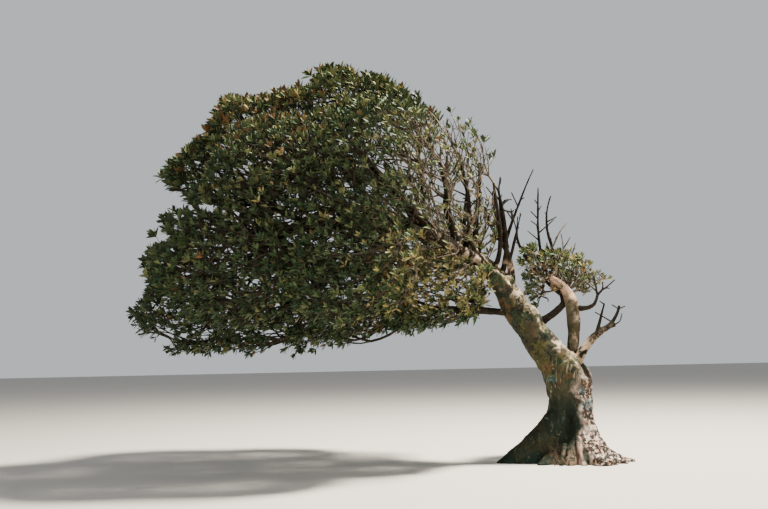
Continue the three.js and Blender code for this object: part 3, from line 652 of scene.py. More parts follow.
def curve_form(name, line, radii):
    """A round, closed tube along a line, by Blender's own bevelled curve."""
    data = bpy.data.curves.new(name, "CURVE")
    data.dimensions = "3D"
    data.bevel_depth = 1.0
    data.bevel_resolution = CURVE_ROUND
    data.use_fill_caps = True
    spline = data.splines.new("POLY")
    spline.points.add(len(line) - 1)
    for point, place, radius in zip(spline.points, line, radii):
        point.co = (*place, 1)
        point.radius = radius
    return applied(linked(name, data))


def limb_form(limb, until=1.0):
    """A limb that strays a little, thickens at its foot and is lumpy. A stub of one slims to its end."""
    shares = np.linspace(0, until, max(LEAST_POINTS, int(limb.length * until / LIMB_STEP)))
    seed = Vector(a * b for a, b in zip((len(limb.name), limb.length, limb.girth[0]), LIMB_SEEDS))
    soon, late = WANDER_EASE
    line, radii = [], []
    for place, radius, share in zip(limb.at(shares), limb.radius(shares), shares):
        ease = min(1.0, soon * share) * min(1.0, late * (1 - share))
        stray = noise.noise_vector(Vector(place) * WANDER_SCALE + seed)
        line.append(Vector(place) + stray * (LIMB_WANDER * radius * ease))
        lump = 1 + LIMB_LUMPS * noise.noise(Vector(place) * LUMP_SCALE - seed)
        if limb.in_trunk:
            collar = FOOT_SHRINK + (1 - FOOT_SHRINK) * smoothstep(share, 0, FOOT_EASE)
        else:
            collar = 1 + COLLAR * math.exp(-share * limb.length / (COLLAR_LENGTH * limb.girth[0]))
        slim = 1 - STUB_SLIM * share / until if until < 1 else 1
        if limb.name in LONG_STUBS:
            eased = smoothstep(share * limb.length, *LONG_STUB_EASE)
            slim = 1 - STUB_SLIM * eased if until < 1 else LONG_SUNK + (1 - LONG_SUNK) * eased
        radii.append(radius * lump * collar * slim)
    return curve_form(limb.name, line, radii)


ROOT_POINTS = 16
ROOT_ROUNDS = 3


def root_form(line, girth):
    """A surface root: a bent tube through its places."""
    shares = np.linspace(0, 1, ROOT_POINTS)
    knots = np.linspace(0, 1, len(line))
    places = np.stack([np.interp(shares, knots, [p[k] for p in line]) for k in range(3)], axis=-1)
    for _ in range(ROOT_ROUNDS):
        places[1:-1] = 0.5 * places[1:-1] + 0.25 * (places[:-2] + places[2:])
    return curve_form("root", places, girth[0] + (girth[1] - girth[0]) * shares)


def lump_form(middle, half):
    """A round lump."""
    form = bmesh.new()
    bmesh.ops.create_icosphere(form, subdivisions=3, radius=1.0)
    bmesh.ops.scale(form, vec=half, verts=form.verts)
    bmesh.ops.translate(form, vec=middle, verts=form.verts)
    return mesh_of("lump", form)


def remeshed(mesh, voxel):
    """A mesh grown together into one closed skin."""
    work = linked("skin", mesh)
    modifier = work.modifiers.new("skin", "REMESH")
    modifier.mode = "VOXEL"
    modifier.voxel_size = voxel
    modifier.use_smooth_shade = True
    result = applied(work)
    bpy.data.meshes.remove(mesh)
    return result


# The relief of the bark. Folds: their scale across and along, and how far they stand out. Knots: their scale,
# where they begin, how steep they are and how far they stand out.
FOLDS = (5.0, 1.3, 0.45)
FINE_FOLDS = (13, 4.5, 0.28)
FOLD_EDGE = 2.4
FOLD_BEND = (1.7, 0.8)
KNOTS = (3.4, 0.15, 2, 0.55)
SMALL_LUMPS = (21, 0.22)
FINE_SHIFT = Vector((7, 3, 1))
KNOT_SHIFT = Vector((2, 9, 4))


def bark_relief(point):
    """How far the bark stands out at a point: long folds, knots and small lumps."""
    x, y, z = point
    place = Vector(point)
    across, along, strength = FOLDS
    bend = noise.noise_vector(place * FOLD_BEND[0]) * FOLD_BEND[1]
    folds = Vector((x * across, y * across, z * along)) + bend
    folds = (1 - FOLD_EDGE * abs(noise.noise(folds))) * strength
    across, along, strength = FINE_FOLDS
    finer = Vector((x * across, y * across, z * along)) + FINE_SHIFT
    finer = (1 - FOLD_EDGE * abs(noise.noise(finer))) * strength
    scale, least, rise, strength = KNOTS
    knots = max(0.0, noise.noise(place * scale + KNOT_SHIFT) - least) * rise * strength
    lumps = noise.noise(place * SMALL_LUMPS[0]) * SMALL_LUMPS[1]
    return folds + finer + knots + lumps


RELIEF = 0.030
RELIEF_GIRTH = 0.20  # a limb slimmer than this has less relief
LEAST_RELIEF = 0.2
SLENDER_GIRTH = 0.15  # a limb slimmer than this has darker bark: painted shade on the live boughs, the dark of dead wood on the dead ones
ON_TRUNK = 0.4  # this far below the trunk's top, all bark is the trunk's
LINE_POINTS = 60
LINE_STEP = 0.04
LEAST_LINE = 8
SKIN_VALUES = ("hollow", "young", "under", "sunken")  # what the materials read at each point
FLAT = -0.99  # a face that looks down more than this is the flat cut
TRUNK_VOXEL = 0.0145
BOUGH_VOXEL = 0.023
DEAD_VOXEL = 0.0112
BRUSH_VOXEL = 0.0150


def sunken_at(point):
    """How much a point is in one of the trunk's deep hollows, from 0 to 1."""
    turn = math.atan2(point.y, point.x - TRUNK_BOW)
    most = 0.0
    for heading, middle, wide, tall, _ in HOLLOWS:
        off = turn - math.radians(heading)
        aside = math.atan2(math.sin(off), math.cos(off)) * (WAIST_RADIUS + FLARE / 2)
        most = max(most, math.exp(-((aside / wide) ** 2) - ((point.z - middle) / tall) ** 2))
    return most


def add_relief(form, limbs):
    """Every point moved by the bark's relief, and given the values that its material reads."""
    tree, girths = middle_lines(limbs, LINE_POINTS)
    hollow, young, under, sunken = (form.verts.layers.float.new(name) for name in SKIN_VALUES)
    shifts = []
    for vert in form.verts:
        relief = bark_relief(vert.co)
        _, index, _ = tree.find(vert.co)
        girth = girths[index] if vert.co.z > TRUNK_TOP - ON_TRUNK else RELIEF_GIRTH
        vert[hollow] = max(0.0, min(1.0, 0.5 - relief * 0.5))
        vert[young] = max(0.0, min(1.0, 1 - girth / SLENDER_GIRTH))
        vert[under] = 0.5 - 0.5 * vert.normal.z
        vert[sunken] = sunken_at(vert.co)
        shifts.append(vert.normal * (relief * RELIEF * min(1.0, max(LEAST_RELIEF, girth / RELIEF_GIRTH))))
    for vert, shift in zip(form.verts, shifts):
        vert.co += shift


def cut_at_ground(form):
    """The flat cut on which the trunk stands."""
    cut = bmesh.ops.bisect_plane(form, geom=form.verts[:] + form.edges[:] + form.faces[:], dist=1e-5,
                                 plane_co=(0, 0, 0), plane_no=(0, 0, -1), clear_outer=True)
    rim = [g for g in cut["geom_cut"] if isinstance(g, bmesh.types.BMEdge)]
    bmesh.ops.holes_fill(form, edges=rim, sides=0)


def skin_mesh(forms, limbs, voxel, smoothing):
    """Forms and limbs grown together, with the relief of the bark and a flat cut at the ground."""
    form = bmesh.new()
    for mesh in forms:
        form.from_mesh(mesh)
        bpy.data.meshes.remove(mesh)
    mesh = remeshed(mesh_of("skin", form), voxel)
    form = bmesh.new()
    form.from_mesh(mesh)
    for _ in range(smoothing):
        bmesh.ops.smooth_vert(form, verts=form.verts, factor=0.5, use_axis_x=True, use_axis_y=True,
                              use_axis_z=True)
    form.normal_update()
    add_relief(form, limbs)
    if min(v.co.z for v in form.verts) < 0:
        cut_at_ground(form)
    bmesh.ops.recalc_face_normals(form, faces=form.faces)
    for face in form.faces:
        face.smooth = face.normal.z > FLAT or face.calc_center_median().z > 0.01
    form.to_mesh(mesh)
    form.free()
    return mesh


def middle_lines(limbs, count=None):
    """A search tree over points along the middles of limbs, and the limb's radius at each."""
    shares = [np.linspace(0, 1, count or max(LEAST_LINE, int(limb.length / LINE_STEP))) for limb in limbs]
    points = np.concatenate([limb.at(s) for limb, s in zip(limbs, shares)])
    girths = np.concatenate([limb.radius(s) for limb, s in zip(limbs, shares)])
    tree = kdtree.KDTree(len(points))
    for i, point in enumerate(points):
        tree.insert(point, i)
    tree.balance()
    return tree, girths


# Twigs and leaves.


FIRST_TURN = 0.8
FIRST_SHARE = (0.9, 0.1)  # how far out they are, and how much that is drawn


def first_places(mass):
    """The source's own places for sprays: spread over the mass's reach as the seeds of a sunflower are."""
    draw = seeded(1000 + mass.seed * 77)
    places = []
    for i in range(FIRST_SPRAYS):
        z = 1 - (2 * i + 1) / FIRST_SPRAYS
        around = math.sqrt(1 - z * z)
        turn = i * GOLDEN + draw() * FIRST_TURN + mass.seed
        edge = np.array([around * math.cos(turn), around * math.sin(turn), z]) * mass.reach
        share = (1 - LEAF_INSET / np.linalg.norm(edge)) * (FIRST_SHARE[0] + FIRST_SHARE[1] * draw())
        places.append(mass.centre + edge * share)
    places = np.array(places)
    return places[mass.within(places, FIRST_MARGIN)]


def nearest_first(places, start):
    """Places in the order of how far they are from a start."""
    return places[np.argsort(np.linalg.norm(places - start, axis=1), kind="stable")]


def crown_depth(points, masses):
    """How deep in the crown each point lies: a number that is more than CROWN_SURFACE inside it."""
    field = np.zeros(len(points))
    for m in masses:
        d = np.linalg.norm((points - m.centre) / m.reach, axis=1)
        field += np.exp(-CROWN_BLEND * (d**2 - 1))
    return field


def seen_places(points):
    """X and Z where the line from the eye through each point meets the trunk's depth."""
    eye = np.array(EYE)
    return (eye + (points - eye) * (-eye[1] / (points[:, 1] - eye[1]))[:, None])[:, [0, 2]]


def in_gap(points, gaps):
    """Whether each point lies in one of the gaps, as seen from the eye."""
    seen = seen_places(points)
    gap = np.zeros(len(points), bool)
    for x, z, wide, tall in gaps:
        gap |= ((seen[:, 0] - x) / wide) ** 2 + ((seen[:, 1] - z) / tall) ** 2 < 1
    return gap


def sky_specks(draws):
    """Places and radii of the specks of sky, as seen at the trunk's depth."""
    low, high = np.min(CROWN_EDGE, axis=0), np.max(CROWN_EDGE, axis=0)
    most = SPECKS_ELSEWHERE + max(row[4] for row in SPECKLED)
    count = int(most * np.prod(high - low))
    specks = low + (high - low) * draws.random((count, 2))
    wanted = SPECKS_ELSEWHERE * smoothstep(specks[:, 1], *SPECKS_TOP)
    for x, z, wide, tall, share in SPECKLED:
        wanted += share * np.exp(-(((specks[:, 0] - x) / wide) ** 2) - ((specks[:, 1] - z) / tall) ** 2)
    kept = draws.random(count) * most < wanted
    return specks[kept], draws.uniform(*SPECK_RADIUS, kept.sum())


def over_speck(leaves, specks, radii):
    """Whether each leaf crosses a speck of sky, as seen from the eye."""
    foot, tip = seen_places(leaves[:, 0]), seen_places(leaves[:, 3])
    side = tip - foot
    span = np.maximum(np.sum(side * side, axis=1), 1e-9)
    over = np.zeros(len(leaves), bool)
    for speck, radius in zip(specks, radii):
        share = np.clip(np.sum((speck - foot) * side, axis=1) / span, 0, 1)
        off = foot + share[:, None] * side - speck
        over |= np.sum(off * off, axis=1) < radius * radius
    return over


def edge_room(points, edge):
    """How far inside an outline each point lies, as seen from the eye."""
    place = seen_places(points)[:, None]
    start = np.array(edge)
    end = np.roll(start, -1, axis=0)
    side = end - start
    share = np.clip(np.sum((place - start) * side, axis=2) / np.sum(side * side, axis=1), 0, 1)
    gap = np.linalg.norm(place - start - share[:, :, None] * side, axis=2).min(axis=1)
    between = (start[:, 1] > place[:, :, 1]) != (end[:, 1] > place[:, :, 1])
    rise = np.where(side[:, 1] == 0, 1e-9, side[:, 1])
    beyond = place[:, :, 0] < side[:, 0] * (place[:, :, 1] - start[:, 1]) / rise + start[:, 0]
    inside = np.sum(between & beyond, axis=1) % 2 == 1
    return np.where(inside, gap, -gap)


def fine_places(mass, crown, limb_tree, limb_girths, draws):
    """Many more places for sprays within the same reach, evenly apart, and clear of the limbs."""
    count = MOST_SPRAYS[mass.kind] * PLACES_FOR_SPRAY
    way = unit(draws.normal(size=(count, 3)))
    low = (THROAT_SHELL if mass.name == "throat" else SHELL[mass.kind]) ** 3
    share = (low + (FINE_REACH**3 - low) * draws.random(count)) ** (1 / 3)
    points = mass.centre + way * mass.reach * share[:, None]
    keep = mass.within(points, FINE_MARGIN) | (mass.kind == "windward")
    coarse, fine = ([noise.noise(Vector(p) * scale) for p in points] for scale in ROUGH_SCALES)
    ragged = (np.array(coarse) + ROUGH_FINE * np.array(fine)) * EDGE_ROUGH[mass.kind]
    if mass in crown:
        depth = crown_depth(points, crown)
        keep &= (depth > CROWN_SURFACE) & (edge_room(points, CROWN_EDGE) > EDGE_INSET + ragged)
        keep &= ~in_gap(points, GAPS) & ~(in_gap(points, OPENED) & (points[:, 1] < OPEN_FRONT))
        if mass.kind == "dense":
            keep &= depth < SHELL_DEPTH
    else:
        behind = points[:, 1] > STEM_FRONT - STEM_EASE * np.maximum(0, points[:, 2] - STEM_TOP)
        keep &= behind & (share < WINDWARD_REACH)
        keep &= edge_room(points, WINDWARD_EDGE) > WINDWARD_INSET + ragged
    kept = []
    apart = THROAT_APART if mass.name == "throat" else SPRAY_APART[mass.kind]
    grid = {}
    for p in points[keep]:
        cell = tuple(int(v // apart) for v in p)
        near = [grid.get((cell[0] + i, cell[1] + j, cell[2] + k), []) for i in (-1, 0, 1)
                for j in (-1, 0, 1) for k in (-1, 0, 1)]
        if any(np.dot(p - q, p - q) < apart * apart for bunch in near for q in bunch):
            continue
        _, index, dist = limb_tree.find(p)
        if dist < limb_girths[index] + LIMB_CLEAR:
            continue
        grid.setdefault(cell, []).append(p)
        kept.append(p)
        if len(kept) >= MOST_SPRAYS[mass.kind]:
            break
    return np.array(kept)


LEE_FLOW = 0.15  # how much the twigs of the dense crown bend up and to the lee
THIN_RISE = 0.6  # how much thin masses' twigs bend up
BARE_SPREAD = 0.2


def flow(points, mass):
    """The way that twigs run at each point: away from the fork, or from the foot of a mass apart."""
    start = np.array(FORK) if mass.kind in ("dense", "sparse") else mass.centre - UP * mass.reach[2]
    away = unit(points - start)
    if mass.kind == "dense":
        return unit(away + LEE_FLOW * UP + LEE_FLOW * LEE)
    if mass.bare:
        return unit(UP + BARE_SPREAD * away)
    return unit(away + THIN_RISE * UP)


LEAVE_BEND = 0.6
ARRIVE_BEND = 0.7
SETTLES = 2  # how often forks are eased into the run of their twigs
KNOB_SCALE = 23
FOOT_OF_PARENT = 0.9  # a twig's foot has at most this share of its parent's radius
FOOT_OF_TWIG = 1.4  # and is at most this much thicker than the twig
SPRAY_LOAD = 5  # a twig that carries this much has no leaves
SPRAY_LIFT = (0.15, 0.75)  # how much sprays turn up low down, and how much more higher up
LIFT_HEIGHTS = (1.9, 2.8)
SPRAY_ALONG = {True: 0.6, False: 0.25}  # how much a spray runs on with its twig, at its end and on its side
SPRAY_OUT = 0.3
SPRAY_LEE = 0.5


class Branching:
    """The twigs of one mass: points, each with the point that it springs from."""

    def __init__(self, mass, limbs, boughs):
        self.mass = mass
        self.at = np.zeros((MOST_POINTS, 3))
        self.head = np.zeros((MOST_POINTS, 3))
        self.way = np.zeros(MOST_POINTS)
        self.parent = np.full(MOST_POINTS, -1)
        self.spray = np.zeros(MOST_POINTS, bool)
        self.dead = np.zeros(MOST_POINTS, bool)
        self.root = np.zeros(MOST_POINTS)  # the limb's radius, where a point is on a limb
        self.count = 0
        for limb in boughs:
            start = LONG_ROOTS_FROM if limb.name == "long_bough" else ROOTS_FROM
            for share in np.arange(start, 1.0, ROOT_STEP[mass.kind] / limb.length):
                place = limb.at(share)
                if np.linalg.norm((place - mass.centre) / mass.reach) < ROOT_REACH:
                    self.point(place, limb.heading(share), -1, ROOT_WAY, limb.radius(share))
        own = limbs[mass.carrier]
        foot = self.point(own.at(1) - own.heading(1) * FOOT_DEPTH, own.heading(1), -1, 0, own.girth[1])
        far = np.linalg.norm(own.at(1) - mass.centre)
        on = STEM_ON["bare" if mass.bare else "leafy"]
        self.twig(foot, own.at(1) + own.heading(1) * far * on, False)

    def point(self, at, head, parent, way, root=0.0, spray=False):
        """A new point, by its number."""
        i = self.count
        self.at[i] = at
        self.head[i] = head
        self.parent[i] = parent
        self.way[i] = way
        self.root[i] = root
        self.spray[i] = spray
        self.count += 1
        return i

    def twig(self, start, place, spray=True):
        """A twig bent from the heading of what it springs from into the flow."""
        a, b = self.at[start].copy(), np.array(place)
        span = np.linalg.norm(b - a)
        chord = (b - a) / max(span, 1e-9)
        bend = TWIG_BEND[self.mass.kind]
        leave = unit(self.head[start] * LEAVE_BEND * bend + chord) * span
        arrive = unit(chord + ARRIVE_BEND * bend * flow(b[None], self.mass)[0]) * span
        steps = max(1, round(span / TWIG_STEP[self.mass.kind]))
        parent, way = start, self.way[start]
        for k in range(1, steps + 1):
            s = k / steps
            p = (2 * s**3 - 3 * s**2 + 1) * a + (s**3 - 2 * s**2 + s) * leave \
                + (3 * s**2 - 2 * s**3) * b + (s**3 - s**2) * arrive
            head = unit(p - self.at[parent])
            way += span / steps
            parent = self.point(p, head, parent, way, spray=spray and k == steps)

    def grow(self, places, dead=False):
        """The one rule: each new twig springs from the nearest twig, with a pull to a short way back."""
        flows = np.tile(UP, (len(places), 1)) if dead else flow(places, self.mass)
        for p, onward in zip(places, flows):
            n = self.count
            across = p - self.at[:n]
            gap = np.maximum(np.linalg.norm(across, axis=1), 1e-6)
            off_flow = 1 - across @ onward / gap
            off_line = 1 - np.sum(across * self.head[:n], axis=1) / gap
            cost = gap * (1 + FLOW_PULL * off_flow + TURN_PULL * off_line) + WAY_PULL * self.way[:n]
            self.twig(int(np.argmin(cost)), p)
            self.dead[n:self.count] = dead

    def finish(self):
        """Arrays cut to length, forks eased into the run of their twigs, loads and the twig that runs on."""
        n = self.count
        for name in ("at", "head", "way", "parent", "spray", "dead", "root"):
            setattr(self, name, getattr(self, name)[:n])
        live = self.parent >= 0
        for _ in range(SETTLES):
            total = np.zeros((n, 3))
            children = np.zeros(n)
            np.add.at(total, self.parent[live], self.at[live])
            np.add.at(children, self.parent[live], 1)
            inner = (children > 0) & live
            mean = total[inner] / children[inner][:, None]
            self.at[inner] = 0.5 * self.at[inner] + 0.25 * mean + 0.25 * self.at[self.parent[inner]]
        self.load = self.spray + DEAD_LOAD * (self.dead | self.mass.bare)
        self.onward = np.full(n, -1)
        for i in range(n - 1, -1, -1):
            p = self.parent[i]
            if p >= 0:
                self.load[p] += self.load[i]
                if self.onward[p] < 0 or self.load[i] >= self.load[self.onward[p]]:
                    self.onward[p] = i
        kind = self.mass.kind
        knobs = np.array([noise.noise(Vector(p) * KNOB_SCALE) for p in self.at]) * TWIG_KNOBS[kind]
        tip = np.where(self.dead, TWIG_TIP["bare"], TWIG_TIP[kind])
        self.radius = tip * np.maximum(self.load, 1) ** TWIG_POWER[kind] * (1 + knobs)
        self.radius = np.where(self.root > 0, self.root, self.radius)

    def chains(self, dead):
        """The live or dead twigs as runs of points with radii, each from what it springs from to its tip."""
        runs = []
        for i in range(self.count):
            p = self.parent[i]
            if p < 0 or self.dead[i] != dead or (self.onward[p] == i and self.root[p] == 0):
                continue
            run = [p, i]
            while self.onward[run[-1]] >= 0:
                run.append(self.onward[run[-1]])
            radii = self.radius[run].copy()
            radii[0] = min(self.radius[p] * FOOT_OF_PARENT, radii[1] * FOOT_OF_TWIG)
            radii[-1] *= 1 if self.mass.bare else TWIG_TAPER
            runs.append((self.at[run], np.minimum(radii, radii[0])))
        return runs

    def tips(self):
        """Where sprays of leaves grow: place, direction, whether it is the end of its twig, and the mass."""
        outward = unit((self.at - self.mass.centre) / self.mass.reach)
        rows = []
        for i in np.flatnonzero(self.spray & ~self.dead & (self.load < SPRAY_LOAD)):
            chord = unit(self.at[i] - self.at[self.parent[i]])
            lift = SPRAY_LIFT[0] + SPRAY_LIFT[1] * smoothstep(self.at[i][2], *LIFT_HEIGHTS)
            at_end = self.onward[i] < 0
            axis = chord * SPRAY_ALONG[bool(at_end)] + outward[i] * SPRAY_OUT + UP * lift + LEE * SPRAY_LEE
            rows.append((self.at[i], unit(axis), at_end, self.mass))
        return rows


def across_of(vectors, line):
    """Vectors without their part along a line."""
    return vectors - line * np.sum(vectors * line, axis=1, keepdims=True)


def aside_of(line):
    """A direction that is well off each line, to turn frames by."""
    return np.where(np.abs(line[:, 2:]) > STEEP, [[1.0, 0, 0]], [[0, 0, 1.0]])


def tube_arrays(runs, sides):
    """Closed tubes along runs of points with radii."""
    counts = np.array([len(r[0]) for r in runs])
    last = np.cumsum(counts) - 1
    first = last - counts + 1
    which = np.repeat(np.arange(len(runs)), counts)
    points = np.concatenate([r[0] for r in runs])
    radii = np.concatenate([r[1] for r in runs])
    index = np.arange(len(points))
    line = unit(points[np.minimum(index + 1, last[which])] - points[np.maximum(index - 1, first[which])])
    chord = unit(points[last] - points[first])
    side = unit(np.cross(chord, aside_of(chord)))[which]
    u = unit(across_of(side, line))
    v = np.cross(line, u)
    turns = [2 * math.pi * k / sides for k in range(sides)]
    rings = [points + radii[:, None] * (math.cos(w) * u + math.sin(w) * v) for w in turns]
    corners = np.stack(rings, axis=1).reshape(-1, 3)
    faces = []
    for ring in np.flatnonzero(index < last[which]) * sides:
        faces += [(ring + k, ring + (k + 1) % sides, ring + (k + 1) % sides + sides, ring + k + sides)
                  for k in range(sides)]
    faces += [tuple(range(ring + sides - 1, ring - 1, -1)) for ring in first * sides]
    faces += [tuple(range(ring, ring + sides)) for ring in last * sides]
    return corners, faces


TWIG_SIDES = [(0.012, 7), (0.0075, 5), (0.0, 3)]  # least radius at the foot, and sides


def twig_mesh(name, runs):
    """All the twigs of one kind in one mesh: the thick ones with more sides."""
    points, faces, offset = [], [], 0
    ceiling = math.inf
    for least, sides in TWIG_SIDES:
        some = [r for r in runs if least <= r[1][0] < ceiling]
        ceiling = least
        if some:
            corners, quads = tube_arrays(some, sides)
            faces += [tuple(int(k) + offset for k in face) for face in quads]
            points.append(corners)
            offset += len(corners)
    return mesh_from(name, np.concatenate(points), faces, True)


LEAVES_IN_ROSETTE = {"end": (8, 10), "side": (4, 6)}
SPARSE_LEAVES = {"end": (4, 7), "side": (1, 3)}


def leaf_arrays(tips, draws, box):
    """The corners of every leaf, its spray and how far out in the spray it stands."""
    place, line, counts, size = [], [], [], []
    for at, heading, at_end, sparse, scale in tips:
        low, high = (SPARSE_LEAVES if sparse else LEAVES_IN_ROSETTE)["end" if at_end else "side"]
        n = int(draws.integers(low, high + 1))
        place.append(at)
        line.append(heading)
        counts.append(n)
        size.append(draws.uniform(*SPRAY_SPREAD) * scale)
    counts = np.array(counts)
    which = np.repeat(np.arange(len(counts)), counts)
    order = np.arange(counts.sum()) - np.repeat(np.cumsum(counts) - counts, counts)
    outer = order / np.maximum(counts[which] - 1, 1)
    tip = np.array(place)[which]
    head = unit(np.array(line))[which]
    phase = draws.uniform(0, 2 * math.pi, len(counts))[which]
    turn = phase + order * GOLDEN + draws.normal(0, TURN_SPREAD, len(which))
    u = unit(np.cross(head, aside_of(head)))
    v = np.cross(head, u)
    radial = np.cos(turn)[:, None] * u + np.sin(turn)[:, None] * v
    inner, more, spread = OPENING
    opening = np.radians(inner + more * outer**0.8 + draws.normal(0, spread, len(which)))[:, None]
    along = np.cos(opening) * head + np.sin(opening) * radial
    along = unit(along - UP * (SAG[0] + SAG[1] * outer[:, None]))
    normal = unit(across_of(head, along) + draws.normal(0, TILT_SPREAD, along.shape))
    normal = unit(across_of(normal, along))
    across = np.cross(normal, along)
    share = INNER_LENGTH + (1 - INNER_LENGTH) * outer**0.5
    length = LEAF_LENGTH * np.array(size)[which] * share * draws.uniform(*LEAF_SPREAD, len(which))
    width = LEAF_WIDTH * length / LEAF_LENGTH * draws.uniform(*LEAF_SPREAD, len(which))
    root = tip - head * (LEAF_APART * order)[:, None]

    def corner(t, w, side):
        lift = side * side * LEAF_KEEL * w * width - LEAF_CURL * t**2 * length
        aside = across * (side * w * width)[:, None]
        return root + along * (t * length)[:, None] + aside + normal * lift[:, None]

    s = LEAF_STATIONS
    corners = [corner(*s[0], 0), corner(*s[1], 0), corner(*s[2], 0), corner(*s[3], 0)]
    corners += [corner(*s[1], 1), corner(*s[2], 1), corner(*s[1], -1), corner(*s[2], -1)]
    leaves = np.stack(corners, axis=1)
    low, high = box
    inside = np.all((leaves > low) & (leaves < high), axis=(1, 2))
    return leaves[inside], which[inside], outer[inside]


LEAF_FACES = [(0, 1, 4), (0, 6, 1), (1, 2, 5, 4), (1, 6, 7, 2), (2, 3, 5), (2, 7, 3)]


HEART = 0.40  # the young leaves in the heart of a rosette have a tone of their own
HEART_LIGHT = 1.7
RING_LIGHT = 0.65
FRINGE = (0.14, 2.35)  # near the outline and below this height the sprays have few, hanging leaves
CROWN_PARTED = -3.6  # the most numerous leaves are in two meshes, parted here
PARTED = ("green", "deep")
WINDWARD_BRUSH = 0.15
FEW_LEAVES = 0.5  # where the brush is more than this, sprays have few leaves
# The size of leaves: within the crown, less in the throat and the brush, more at the crown's upper edge.
LEAF_SCALE = 0.79
THROAT_LESS = 0.09
BRUSH_LESS = 0.04
EDGE_MORE = 0.32
EDGE_DEPTH = (0.15, 0.40)
BOX_SPARE = 0.03  # how far leaves may stand out of the solids' box
# Parts of the crown, each between the places where it ends and where it is whole.
THROAT_X = (-3.3, -2.2)
THROAT_FOOT = (2.15, 2.45)
THROAT_TOP = (3.7, 3.2)
SUNNY_Z = (3.6, 6.0)
SUNNY_BRUSH = 0.5
SUNNY_WINDWARD = 0.35
WINDWARD_LIT = (2.5, 3.6)
LEE_TOP_X = (-3.2, -4.4)
LEE_TOP_Z = (4.4, 5.2)
MIDDLE_FOOT = (2.6, 3.2)
MIDDLE_TOP = (5.0, 4.4)
# Tones of the leaves: above, beneath, and roughness.
LEAF_TONES = {
    "gold": ((0.310, 0.275, 0.110), (0.240, 0.190, 0.080), 0.50),
    "rust": ((0.125, 0.080, 0.032), (0.150, 0.084, 0.034), 0.55),
    "olive": ((0.140, 0.164, 0.062), (0.125, 0.130, 0.056), 0.50),
    "green": ((0.054, 0.090, 0.034), (0.058, 0.078, 0.035), 0.46),
    "deep": ((0.025, 0.050, 0.023), (0.031, 0.047, 0.024), 0.46),
}
# The share of sprays that each tone but the last has: everywhere, and so much more in parts of the crown. The
# lighter tones dealt out more in the sunny parts, the throat and the middle are painted sunlight on the
# leaves there.
TONE_SHARES = [
    (0.010, {"sunny": 0.07, "throat": 0.46}),
    (0.010, {"lee top": 0.15, "sunny": 0.03}),
    (0.10, {"middle": 0.05, "sunny": 0.26, "throat": 0.28}),
    (0.34, {"middle": 0.12}),
]


def brush_share(at):
    """How much the crown at each point is a brush of twigs, from 0 to 1."""
    x, z = at[:, 0], at[:, 2]
    over = z - BRUSH_TOP[0] - BRUSH_TOP[1] * (x - BRUSH_X[0])
    closed = smoothstep(over, -BRUSH_EASE, BRUSH_EASE)
    return smoothstep(x, *BRUSH_X) * smoothstep(z, *BRUSH_Z) * (1 - closed)


def throat_share(at):
    """How much each point is in the sunlit throat of the crown, from 0 to 1."""
    x, z = at[:, 0], at[:, 2]
    return smoothstep(x, *THROAT_X) * smoothstep(z, *THROAT_FOOT) * smoothstep(z, *THROAT_TOP)


def tone_shares(at, windward):
    """The share of sprays that has each tone at each point, but for the last tone, which the rest have."""
    x, z = at[:, 0], at[:, 2]
    brush = np.where(windward, 0, brush_share(at))
    sunny = np.minimum(1, smoothstep(z, *SUNNY_Z) + SUNNY_BRUSH * brush)
    parts = {
        "throat": np.where(windward, 0, throat_share(at)),
        "sunny": np.where(windward, SUNNY_WINDWARD + smoothstep(x + z, *WINDWARD_LIT), sunny),
        "lee top": smoothstep(x, *LEE_TOP_X) * smoothstep(z, *LEE_TOP_Z),
        "middle": smoothstep(z, *MIDDLE_FOOT) * smoothstep(z, *MIDDLE_TOP),
    }
    shares = []
    for base, more in TONE_SHARES:
        share = np.full(len(at), base)
        for part, weight in more.items():
            share = share + weight * parts[part]
        shares.append(share)
    return np.stack(shares, axis=1)


def dealt(shares, light, draws):
    """A tone for each spray: the lighter ones more or less often."""
    weighed = shares * np.array([light, light, light, 1.0])
    return np.sum(draws.random(len(shares))[:, None] > np.cumsum(weighed, axis=1), axis=1)


def leaf_mesh(name, leaves):
    """Leaves in one mesh."""
    faces = [tuple(i * 8 + k for k in face) for i in range(len(leaves)) for face in LEAF_FACES]
    return mesh_from(name, leaves, faces, False)


# Materials.


